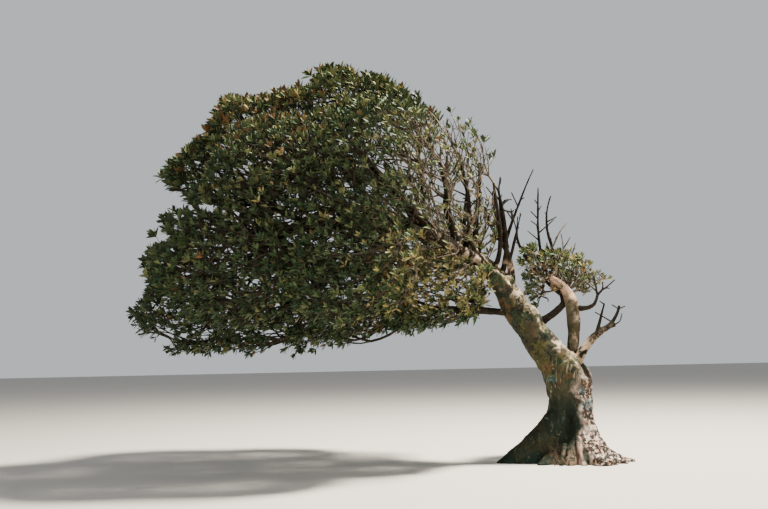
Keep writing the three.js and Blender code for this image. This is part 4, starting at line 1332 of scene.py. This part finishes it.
class Nodes:
    """Short calls that add nodes to a tree and give back their sockets."""

    def __init__(self, tree):
        self.tree = tree

    def feed(self, socket, value):
        """A socket is linked to another, or is given a value. A tone is given a full alpha."""
        if isinstance(value, bpy.types.NodeSocket):
            self.tree.links.new(value, socket)
        elif isinstance(value, tuple) and socket.type == "RGBA":
            socket.default_value = (*value, 1)
        else:
            socket.default_value = value

    def add(self, kind, inputs=None, **settings):
        """A new node with its settings and inputs."""
        node = self.tree.nodes.new(kind)
        for key, value in settings.items():
            setattr(node, key, value)
        for key, value in (inputs or {}).items():
            self.feed(node.inputs[key], value)
        return node

    def grain(self, vector, scale, detail=3.0, roughness=0.55, distortion=0.0):
        """A noise from 0 to 1."""
        inputs = {"Vector": vector, "Scale": scale, "Detail": detail, "Roughness": roughness,
                  "Distortion": distortion}
        return self.add("ShaderNodeTexNoise", inputs).outputs["Fac"]

    def span(self, value, low, high):
        """0 at the first value and beyond, 1 at the second one and beyond."""
        inputs = {"Value": value, "From Min": low, "From Max": high}
        return self.add("ShaderNodeMapRange", inputs, interpolation_type="SMOOTHSTEP").outputs["Result"]

    def math(self, operation, a, b=0.0):
        return self.add("ShaderNodeMath", {0: a, 1: b}, operation=operation).outputs["Value"]

    def plus(self, a, b):
        return self.math("ADD", a, b)

    def less(self, a, b):
        return self.math("SUBTRACT", a, b)

    def product(self, *factors):
        result = factors[0]
        for factor in factors[1:]:
            result = self.math("MULTIPLY", result, factor)
        return result

    def vector(self, operation, a, b):
        """A sum or product of vectors."""
        return self.add("ShaderNodeVectorMath", {0: a, 1: b}, operation=operation).outputs["Vector"]

    def mix(self, factor, a, b):
        """The second tone over the first."""
        node = self.add("ShaderNodeMix", data_type="RGBA")
        for key, value in (("Factor", factor), ("A", a), ("B", b)):
            self.feed(next(i for i in node.inputs if i.name == key and i.enabled), value)
        return next(o for o in node.outputs if o.enabled)

    def group(self, tree, inputs):
        """The outputs of a node group."""
        return self.add("ShaderNodeGroup", inputs, node_tree=tree).outputs

    def place(self):
        """The place on the piece, whole and as X, Y and Z."""
        place = self.add("ShaderNodeTexCoord").outputs["Object"]
        return place, self.add("ShaderNodeSeparateXYZ", {"Vector": place}).outputs

    def attribute(self, name):
        """A value that the mesh carries."""
        return self.add("ShaderNodeAttribute", attribute_name=name).outputs["Fac"]

    def bump(self, height, strength, distance):
        """A normal from a height."""
        inputs = {"Height": height, "Strength": strength, "Distance": distance}
        return self.add("ShaderNodeBump", inputs).outputs["Normal"]


def new_material(name, roughness, specular=0.5):
    """A material with one shader: the material, short calls for its nodes and the shader's inputs."""
    material = bpy.data.materials.new(name)
    material.use_nodes = True
    nodes = Nodes(material.node_tree)
    nodes.tree.nodes.clear()
    output = nodes.add("ShaderNodeOutputMaterial")
    shader = nodes.add("ShaderNodeBsdfPrincipled", {"Roughness": roughness, "Specular IOR Level": specular})
    nodes.tree.links.new(shader.outputs["BSDF"], output.inputs["Surface"])
    return material, nodes, shader.inputs


def new_group(name, inputs, outputs):
    """A shader node group with named sockets: short calls for its nodes, and the sockets of both ends."""
    tree = bpy.data.node_groups.new(name, "ShaderNodeTree")
    for label, kind in inputs.items():
        tree.interface.new_socket(name=label, in_out="INPUT", socket_type="NodeSocket" + kind)
    for label, kind in outputs.items():
        tree.interface.new_socket(name=label, in_out="OUTPUT", socket_type="NodeSocket" + kind)
    start = tree.nodes.new("NodeGroupInput")
    end = tree.nodes.new("NodeGroupOutput")
    return Nodes(tree), start.outputs, end.inputs


def weathered_bark():
    """Smooth bark, stained by weather, with painted shade in the low places of its relief: pale where it
    stands out, with stains, flecks and a fine grain.
    """
    nodes, given, out = new_group(
        "weathered_bark",
        {"Vector": "Vector", "Pale": "Color", "Warm": "Color", "Stain": "Color", "Stains": "Float",
         "Hollow": "Float"},
        {"Color": "Color", "Height": "Float"})
    broad = nodes.span(nodes.grain(given["Vector"], 2.2, 3.0), 0.38, 0.62)
    tone = nodes.mix(broad, given["Pale"], given["Warm"])
    blot = nodes.grain(given["Vector"], 6.0, 6.0, 0.62, 0.6)
    level = nodes.less(0.74, nodes.product(given["Stains"], 0.34))
    # Stains gather more where the relief is low: partly dirt, partly painted shade of its hollows.
    level = nodes.less(level, nodes.product(given["Hollow"], 0.16))
    tone = nodes.mix(nodes.span(nodes.less(blot, level), -0.05, 0.09), tone, given["Stain"])
    flecks = nodes.span(nodes.grain(given["Vector"], 34.0, 2.0), 0.58, 0.66)
    tone = nodes.mix(nodes.product(flecks, 0.65), tone, given["Stain"])
    nodes.feed(out["Color"], tone)
    nodes.feed(out["Height"], nodes.plus(nodes.product(blot, 0.6), nodes.grain(given["Vector"], 60.0, 4.0)))
    return nodes.tree


def worn_paint():
    """Where old paint is left: blots with ragged edges, worn through in small spots."""
    nodes, given, out = new_group(
        "worn_paint",
        {"Vector": "Vector", "Scale": "Float", "Cover": "Float", "Wear": "Float"},
        {"Mask": "Float"})
    blots = nodes.grain(given["Vector"], given["Scale"], 2.0, 0.5, 0.35)
    mask = nodes.span(nodes.less(blots, nodes.less(1.0, given["Cover"])), 0.0, 0.02)
    spots = nodes.grain(given["Vector"], 26.0, 5.0, 0.65)
    worn = nodes.span(nodes.less(spots, given["Wear"]), -0.06, 0.06)
    nodes.feed(out["Mask"], nodes.product(mask, worn))
    return nodes.tree


def scratched_lines():
    """Shallow scratches that curl over the bark."""
    nodes, given, out = new_group(
        "scratched_lines",
        {"Vector": "Vector", "Scale": "Float", "Lines": "Float", "Width": "Float"},
        {"Mask": "Float"})
    field = nodes.product(nodes.grain(given["Vector"], given["Scale"], 1.5, 0.5, 0.8), given["Lines"])
    off = nodes.math("ABSOLUTE", nodes.less(nodes.math("FRACT", field), 0.5))
    line = nodes.math("LESS_THAN", off, given["Width"])
    broken = nodes.span(nodes.grain(given["Vector"], 7.0, 2.0), 0.46, 0.56)
    nodes.feed(out["Mask"], nodes.product(line, broken))
    return nodes.tree


# Tones of the trunk. The lit crest is painted sunlight. The underside, the grime on the left, the dark foot
# and the hollows carry painted shade; the grime and the foot carry it only in part.
TRUNK_TONES = {
    "pale": (0.60, 0.48, 0.36),
    "warm": (0.44, 0.30, 0.20),
    "stain_and_shade": (0.075, 0.056, 0.035),
    "lit crest": (0.84, 0.67, 0.48),
    "broken stem": (0.60, 0.37, 0.26),
    "underside": (0.030, 0.027, 0.016),
    "grime and painted shade": (0.034, 0.034, 0.019),
    "dark foot": (0.026, 0.027, 0.015),
    "streak": (0.090, 0.086, 0.052),
    "furrow": (0.012, 0.016, 0.010),
    "pale root": (0.56, 0.38, 0.29),
    "hollow": (0.010, 0.014, 0.009),
    "scratch": (0.36, 0.31, 0.22),
}
# Coats of old paint and dust on each part of the trunk: tone, how much each covers, how much it is worn, the
# scale of its blots, the shift of its pattern and its strength.
LIMB_COATS = [
    ((0.066, 0.062, 0.020), 0.53, 0.42, 3.2, (2, 6, 1), 0.80),
    ((0.014, 0.028, 0.016), 0.47, 0.42, 3.6, (9, 3, 7), 0.90),
    ((0.105, 0.050, 0.026), 0.42, 0.47, 4.4, (5, 5, 2), 0.75),
    ((0.012, 0.013, 0.011), 0.46, 0.47, 7.0, (3, 7, 7), 0.85),
]
FOOT_COATS = [
    ((0.010, 0.018, 0.013), 0.66, 0.38, 1.9, (3, 1, 0), 0.90),
    ((0.014, 0.034, 0.038), 0.42, 0.50, 6.0, (7, 2, 5), 0.60),
]
FLECK_COATS = [((0.26, 0.22, 0.17), 0.36, 0.54, 14.0, (2, 2, 6), 0.40)]
DUST_COATS = [((0.20, 0.135, 0.092), 0.58, 0.45, 12.0, (8, 8, 1), 0.80)]
RIGHT_COATS = [
    ((0.70, 0.59, 0.51), 0.62, 0.40, 4.0, (1, 8, 2), 0.90),
    ((0.27, 0.115, 0.080), 0.47, 0.44, 9.0, (6, 1, 4), 0.80),
    ((0.014, 0.012, 0.010), 0.56, 0.41, 14.0, (4, 4, 9), 0.96),
]
WAIST_COATS = [((0.030, 0.105, 0.120), 0.40, 0.47, 3.1, (6, 0, 3), 0.80)]


def trunk_bark(groups):
    """The trunk and its bare limbs: weathered bark under old paint, worn and grimy, with painted light along
    the limb's crest and painted shade beneath the limbs, on the left side and in the deep hollows.
    """
    material, nodes, inputs = new_material("painted_bark", 0.85, 0.12)
    tones, span, product = TRUNK_TONES, nodes.span, nodes.product
    place, axes = nodes.place()
    under = nodes.attribute("under")
    upright = nodes.vector("MULTIPLY", place, (1.0, 1.0, 0.28))
    bark = nodes.group(groups["bark"], {
        "Vector": place, "Pale": tones["pale"], "Warm": tones["warm"], "Stain": tones["stain_and_shade"],
        "Stains": 0.66, "Hollow": nodes.attribute("hollow")})

    def coated(tone, coats, part):
        """A tone under coats of paint, where they are left on a part of the trunk."""
        for color, cover, wear, scale, shift, strength in coats:
            shifted = nodes.vector("ADD", place, shift)
            paint = nodes.group(groups["paint"], {
                "Vector": shifted, "Scale": scale, "Cover": cover, "Wear": wear})
            tone = nodes.mix(product(paint["Mask"], part, strength), tone, color)
        return tone

    # The parts of the trunk, each with a ragged edge.
    stray = product(nodes.less(nodes.grain(place, 3.0, 4.0), 0.5), 0.9)
    across = nodes.plus(axes["X"], stray)
    height = nodes.plus(axes["Z"], stray)
    ragged = nodes.plus(under, product(nodes.less(nodes.grain(place, 9.0, 4.0), 0.5), 0.5))
    left = span(across, 0.30, 0.05)
    limb = product(span(height, 1.10, 1.40), span(height, 3.70, 3.00))
    crest = span(nodes.plus(ragged, product(span(height, 2.45, 2.00), 0.16)), 0.51, 0.33)
    lean = nodes.plus(axes["X"], product(axes["Z"], 0.35))
    stem = product(span(lean, 0.62, 0.80), span(axes["Z"], 1.66, 1.76))
    off_stem = nodes.less(1.0, product(stem, 0.75))
    limb_paint = product(limb, off_stem)
    dark = product(span(height, 1.20, 0.70), left)
    low = span(height, 1.9, 1.5)
    dust = product(span(axes["Z"], 0.34, 0.08), span(across, -0.45, -0.20))
    off_root = nodes.math("ABSOLUTE", nodes.less(axes["X"], 0.10))
    near_root = product(span(off_root, 0.065, 0.035), span(axes["Z"], 0.38, 0.26))
    pale_root = product(near_root, span(axes["Y"], -0.30, -0.40))
    right = product(nodes.less(1.0, left), span(height, 1.50, 1.15))
    waist = product(span(height, 0.75, 0.90), span(height, 1.40, 1.25))

    # One tone over another, from the bark out.
    tone = bark["Color"]
    # Painted sunlight along the upward-facing crest of the leaning limb.
    tone = nodes.mix(product(crest, limb, 0.65), tone, tones["lit crest"])
    tone = nodes.mix(product(stem, span(height, 2.3, 2.6), 0.7), tone, tones["broken stem"])
    # Painted shade on the limbs where they face down, but not on the broken stem.
    tone = nodes.mix(product(span(ragged, 0.40, 0.62), off_stem, 0.88), tone, tones["underside"])
    # Grime and painted shade on the left of the trunk and leaning limb, up to 2.75 m, off the lit crest.
    off_crest = nodes.less(1.0, product(crest, limb))
    tone = nodes.mix(product(span(height, 2.75, 2.15), left, off_crest, 0.92), tone, tones["grime and painted shade"])
    tone = coated(tone, LIMB_COATS, limb_paint)
    # The dark base of the left foot under its paint: partly its own dark colour, partly painted shade on the
    # side away from the key light.
    tone = nodes.mix(product(dark, 0.97), tone, tones["dark foot"])
    tone = coated(tone, FOOT_COATS, dark)
    streaks = span(nodes.grain(upright, 16.0, 4.0, 0.6, 0.4), 0.56, 0.66)
    tone = nodes.mix(product(streaks, left, low, 0.50), tone, tones["streak"])
    furrows = span(nodes.grain(nodes.vector("ADD", upright, (4, 4, 1)), 12.0, 4.0, 0.6, 0.4), 0.55, 0.63)
    tone = nodes.mix(product(furrows, left, low, 0.8), tone, tones["furrow"])
    tone = coated(tone, FLECK_COATS, dark)
    tone = coated(tone, DUST_COATS, dust)
    tone = nodes.mix(product(pale_root, 0.8), tone, tones["pale root"])
    tone = coated(tone, RIGHT_COATS, right)
    tone = coated(tone, WAIST_COATS, waist)
    # Painted shade in the trunk's deep hollows, with a little of their dark green.
    tone = nodes.mix(product(span(nodes.attribute("sunken"), 0.15, 0.60), 0.93), tone, tones["hollow"])
    lines = nodes.group(groups["lines"], {"Vector": upright, "Scale": 5.5, "Lines": 9.0, "Width": 0.065})
    lines = product(lines["Mask"], span(height, 0.95, 1.15), span(height, 1.75, 1.50), left, 0.50)
    tone = nodes.mix(lines, tone, tones["scratch"])
    nodes.feed(inputs["Base Color"], tone)
    relief = nodes.less(bark["Height"], product(lines, 0.8))
    nodes.feed(inputs["Normal"], nodes.bump(relief, 0.6, 0.014))
    return material


# Tones of the bark of boughs and twigs. The stain tone is also the tone of their painted shade; for twigs,
# dark is how strong that shade is.
LIVE_BOUGH = {"pale": (0.74, 0.58, 0.44), "warm": (0.58, 0.40, 0.28), "stain_and_shade": (0.013, 0.011, 0.007),
              "stains": 0.6, "slimness": 0.32}
DEAD_BOUGH = {"pale": (0.52, 0.39, 0.27), "warm": (0.40, 0.26, 0.14), "stain_and_shade": (0.010, 0.009, 0.007),
              "stains": 0.5, "slimness": 0.52}
LIVE_TWIG = {"pale": (0.185, 0.146, 0.108), "warm": (0.108, 0.080, 0.056), "stain_and_shade": (0.018, 0.016, 0.010),
             "dark": 0.85}
DEAD_TWIG = {"pale": (0.036, 0.030, 0.024), "warm": (0.024, 0.019, 0.015), "stain_and_shade": (0.010, 0.008, 0.006),
             "dark": 0.0}


def bough_bark(groups, name, pale, warm, stain_and_shade, stains, slimness):
    """Bark of boughs: pale along their tops, with painted shade below, where they are slim and under the
    leaves.
    """
    material, nodes, inputs = new_material(name, 0.85, 0.06)
    span, product = nodes.span, nodes.product
    place, axes = nodes.place()
    under = nodes.attribute("under")
    young = nodes.attribute("young")
    bark = nodes.group(groups["bark"], {
        "Vector": place, "Pale": pale, "Warm": warm, "Stain": stain_and_shade, "Stains": stains,
        "Hollow": nodes.attribute("hollow")})
    stray = product(nodes.less(nodes.grain(place, 7.0, 4.0), 0.5), 0.6)
    ragged = nodes.plus(under, stray)
    # Painted shade on the undersides, more towards the lee, and at the lee end under the leaves, with less on
    # the lit tops near the fork. Slim parts are darker too: painted shade on live boughs, the dark of dead
    # wood on dead ones.
    below = product(span(ragged, 0.32, 0.55), span(axes["X"], -1.6, -2.9), 0.45)
    below = nodes.plus(below, product(span(ragged, 0.40, 0.62), 0.45))
    slim = product(span(nodes.plus(young, stray), slimness, slimness + 0.2), 0.98)
    lee = product(span(axes["X"], -1.8, -3.4), 0.9)
    shade = nodes.math("MAXIMUM", nodes.math("MAXIMUM", below, slim), lee)
    lit_foot = product(span(axes["Z"], 2.66, 2.76), span(axes["Z"], 3.22, 3.00))
    lit_foot = product(lit_foot, span(axes["X"], -1.15, -1.00))
    shade = product(shade, nodes.less(1.0, product(lit_foot, 0.75)))
    nodes.feed(inputs["Base Color"], nodes.mix(shade, bark["Color"], stain_and_shade))
    nodes.feed(inputs["Normal"], nodes.bump(bark["Height"], 0.5, 0.010))
    return material


def twig_bark(groups, name, pale, warm, stain_and_shade, dark):
    """Bark of twigs, with painted shade towards the lee end and low down, under the leaves."""
    material, nodes, inputs = new_material(name, 0.9, 0.15)
    place, axes = nodes.place()
    bark = nodes.group(groups["bark"], {
        "Vector": place, "Pale": pale, "Warm": warm, "Stain": stain_and_shade, "Stains": 0.5, "Hollow": 0.3})
    # Painted shade of the leaves over the twigs, in the stain tone.
    shade = nodes.math("MAXIMUM", nodes.span(axes["X"], -1.6, -3.2), nodes.span(axes["Z"], 2.75, 2.35))
    nodes.feed(inputs["Base Color"], nodes.mix(nodes.product(shade, dark), bark["Color"], stain_and_shade))
    return material


def leaf_material(name, upper, under, roughness):
    """A leathery leaf, a little glossy above and duller, rusty beneath."""
    material, nodes, inputs = new_material(name, roughness, 0.15)
    side = nodes.add("ShaderNodeNewGeometry").outputs["Backfacing"]
    nodes.feed(inputs["Base Color"], nodes.mix(side, upper, under))
    return material


# Put together.


def camera():
    """The camera that the scene is seen from."""
    data = bpy.data.cameras.new("camera")
    data.sensor_width = SENSOR
    data.lens = SENSOR * LENS_SHARE
    data.clip_end = 500
    eye = linked("camera", data)
    eye.matrix_world = Matrix.Translation(EYE) @ Matrix.Rotation(math.pi / 2 + PITCH, 4, "X") \
        @ Matrix.Rotation(-ROLL, 4, "Z")
    bpy.context.scene.camera = eye


def lamp(name, place, aim, size, power, color):
    """A round soft lamp, turned to its aim."""
    data = bpy.data.lights.new(name, "AREA")
    data.shape = "DISK"
    data.size = size
    data.energy = power
    data.color = color
    turn = (Vector(aim) - Vector(place)).to_track_quat("-Z", "Y")
    linked(name, data).matrix_world = Matrix.Translation(place) @ turn.to_matrix().to_4x4()


FLOOR_HALF = 150
FLOOR_DROP = (0, 0, -0.002)
FLOOR_TONE = (0.62, 0.58, 0.53)
SURROUND_TONE = (0.68, 0.72, 0.75)
SURROUND_SEEN = 0.85
SURROUND_LIGHT = 0.58


def studio():
    """A plain pale floor, a plain pale surround, a soft key light and a weak fill."""
    form = bmesh.new()
    bmesh.ops.create_grid(form, x_segments=1, y_segments=1, size=FLOOR_HALF)
    bmesh.ops.translate(form, verts=form.verts, vec=FLOOR_DROP)
    floor = linked("floor", mesh_of("floor", form))
    material, nodes, inputs = new_material("floor", 0.9)
    nodes.feed(inputs["Base Color"], FLOOR_TONE)
    floor.data.materials.append(material)
    world = bpy.data.worlds.new("surround")
    world.use_nodes = True
    sky = world.node_tree.nodes["Background"].inputs
    nodes = Nodes(world.node_tree)
    seen = nodes.add("ShaderNodeLightPath").outputs["Is Camera Ray"]
    nodes.feed(sky["Color"], SURROUND_TONE)
    more = nodes.product(seen, SURROUND_SEEN - SURROUND_LIGHT)
    nodes.feed(sky["Strength"], nodes.plus(more, SURROUND_LIGHT))
    bpy.context.scene.world = world
    lamp("key", (4.5, 0.5, 19.5), (-2.5, 0, 2.5), 3.0, 21000, (1.0, 0.93, 0.80))
    lamp("fill", (-6, -16, 6), (-3, 0, 3), 8.0, 700, (1.0, 0.97, 0.92))


DEAD_NODES = ["right_limb", "shoot_bough"]  # dead limbs among the solids
SLIM_LIMBS = ["cross_limb", "hook_limb"]  # limbs with the boughs' bark


def bark_skins(limbs, boughs, brush_limbs, dead_limbs, groups):
    """The trunk, its limbs and its boughs as four skins, each with its own bark and fineness."""
    slim = boughs + [limbs[name] for name in SLIM_LIMBS]
    bare = [limb for name, limb in limbs.items() if limb not in slim and name not in DEAD_NODES]
    gone = [limbs[name] for name in DEAD_NODES] + dead_limbs
    forms = [mesh_of("trunk", trunk_form())] + [limb_form(limb) for limb in bare]
    forms += [root_form(*root) for root in SURFACE_ROOTS] + [lump_form(*lump) for lump in LUMPS]
    for limb in boughs:
        stub = LONG_STUB if limb.name in LONG_STUBS else STUB_LENGTH
        forms.append(limb_form(limb, min(1, stub / limb.length)))
    forms += [limb_form(limbs[name], SLIM_STUB / limbs[name].length) for name in SLIM_LIMBS]
    forms.append(limb_form(limbs["right_limb"], RIGHT_STUB / limbs["right_limb"].length))
    bough = bough_bark(groups, "bough_bark", **LIVE_BOUGH)
    skin = skin_mesh(forms, bare, TRUNK_VOXEL, 2)
    object_from("trunk_skin", skin, trunk_bark(groups), "bark", "trunk", *[limb.name for limb in bare])
    skin = skin_mesh([limb_form(limb) for limb in slim], slim, BOUGH_VOXEL, 2)
    object_from("bough_skin", skin, bough, "bark", *[limb.name for limb in slim])
    skin = skin_mesh([limb_form(limb) for limb in brush_limbs], brush_limbs, BRUSH_VOXEL, 1)
    object_from("brush_skin", skin, bough, "bark", *["leaves_" + name for name in SPARSE])
    skin = skin_mesh([limb_form(limb) for limb in gone], gone, DEAD_VOXEL, 1)
    weathered = bough_bark(groups, "weathered_wood", **DEAD_BOUGH)
    object_from("dead_skin", skin, weathered, "dead_wood", *DEAD_NODES)


def grow_twigs(masses, limbs, boughs, brush_limbs, dead_limbs, draws):
    """The runs of the twigs, by the kind that they are, and the tips where sprays of leaves grow."""
    crown = [m for m in masses if m.kind in ("dense", "sparse")]
    limb_tree, girths = middle_lines(list(limbs.values()) + brush_limbs + dead_limbs)
    runs, tips = {"lee": [], "windward": [], "dead": []}, []
    for mass in masses:
        carriers = boughs + brush_limbs if mass in crown else [] if mass.name == "hook" else dead_limbs
        if mass.bare:
            shoots = np.array(SHOOTS[mass.name])
            if mass.name == "head":
                way = unit(draws.normal(size=(HEAD_SHOOTS, 3))) * draws.uniform(*HEAD_SHELL, (HEAD_SHOOTS, 1))
                shoots = np.concatenate([shoots, mass.centre + HEAD_SHIFT + way * mass.reach * HEAD_REACH])
            twigs = Branching(mass, limbs, carriers)
            twigs.grow(shoots)
        else:
            finer = fine_places(mass, crown, limb_tree, girths, draws)
            twigs = Branching(mass, limbs, carriers)
            twigs.grow(nearest_first(first_places(mass), twigs.at[twigs.count - 1]))
            twigs.grow(nearest_first(finer, np.array(FORK) if mass in crown else twigs.at[0]))
        if mass.kind == "windward":
            twigs.grow(np.array(SHOOTS["windward"]), dead=True)
        twigs.finish()
        runs["dead" if mass.bare else "lee" if mass.kind == "dense" else "windward"] += twigs.chains(False)
        runs["dead"] += twigs.chains(True)
        if not mass.bare:
            tips += twigs.tips()
    return runs, tips


def twig_pieces(runs, leafy_nodes, bare_nodes, groups):
    """The twigs in three pieces."""
    live = twig_bark(groups, "twig_bark", **LIVE_TWIG)
    dead = twig_bark(groups, "dead_wood", **DEAD_TWIG)
    object_from("twigs_lee", twig_mesh("twigs_lee", runs["lee"]), live, "bark", *leafy_nodes)
    object_from("twigs_windward", twig_mesh("twigs_windward", runs["windward"]), live, "bark", *leafy_nodes)
    object_from("dead_twigs", twig_mesh("dead_twigs", runs["dead"]), dead, "dead_wood", *bare_nodes)


def leaf_pieces(tips, leafy_nodes, draws):
    """The leaves, with a piece for each tone and two for the commonest."""
    at = np.array([tip[0] for tip in tips])
    windward = np.array([tip[3].kind == "windward" for tip in tips])
    brush = np.where(windward, WINDWARD_BRUSH, brush_share(at))
    shown = draws.random(len(tips)) < 1 - brush * (1 - BRUSH_LEAVES)
    room = edge_room(at, CROWN_EDGE)
    fringe = (room < FRINGE[0]) & (at[:, 2] < FRINGE[1])
    few = ((brush > FEW_LEAVES) | fringe) & ~windward
    outermost = np.where(windward, 0, 1 - smoothstep(room, *EDGE_DEPTH))
    scale = LEAF_SCALE - THROAT_LESS * throat_share(at) - BRUSH_LESS * brush \
        + EDGE_MORE * outermost * (at[:, 2] > FRINGE[1])
    sprays = [(*tip[:3], few[i], scale[i]) for i, tip in enumerate(tips) if shown[i]]
    box = (np.array(CAD_BOX[0]) - BOX_SPARE, np.array(CAD_BOX[1]) + BOX_SPARE)
    leaves, spray, outer = leaf_arrays(sprays, draws, box)
    solid = ~over_speck(leaves, *sky_specks(draws))
    leaves, spray, outer = leaves[solid], spray[solid], outer[solid]
    shares = tone_shares(at[shown], windward[shown])
    heart, ring = dealt(shares, HEART_LIGHT, draws), dealt(shares, RING_LIGHT, draws)
    tone = np.where(outer < HEART, heart[spray], ring[spray])
    for index, (name, finish) in enumerate(LEAF_TONES.items()):
        material = leaf_material("leaf_" + name, *finish)
        some = leaves[tone == index]
        lee = some[:, 0, 0] < CROWN_PARTED
        parts = {"_lee": some[lee], "_near": some[~lee]} if name in PARTED else {"": some}
        for end, part in parts.items():
            title = "leaves_" + name + end
            object_from(title, leaf_mesh(title, part), material, "foliage", *leafy_nodes)


def main():
    """The whole tree, grown in the same order as its solids."""
    camera()
    studio()
    masses = [Mass(i + 1, *row) for i, row in enumerate(LEAFY + BARE)]
    for mass in masses:
        mass.part_from(masses)
    limbs = grow_limbs(masses)
    boughs = [limb for name, limb in limbs.items() if name.endswith("_bough") and name not in DEAD_NODES]
    brush_limbs = grow_on("brush", BRUSH_LIMBS, limbs)
    dead_limbs = grow_on("dead", DEAD_LIMBS, limbs)
    groups = {"bark": weathered_bark(), "paint": worn_paint(), "lines": scratched_lines()}
    bark_skins(limbs, boughs, brush_limbs, dead_limbs, groups)
    draws = np.random.default_rng(DRAW_SEED)
    runs, tips = grow_twigs(masses, limbs, boughs, brush_limbs, dead_limbs, draws)
    leafy_nodes = ["leaves_" + m.name for m in masses if not m.bare]
    bare_nodes = ["bare_twigs_" + m.name for m in masses if m.bare]
    twig_pieces(runs, leafy_nodes, bare_nodes, groups)
    leaf_pieces(tips, leafy_nodes, draws)


main()
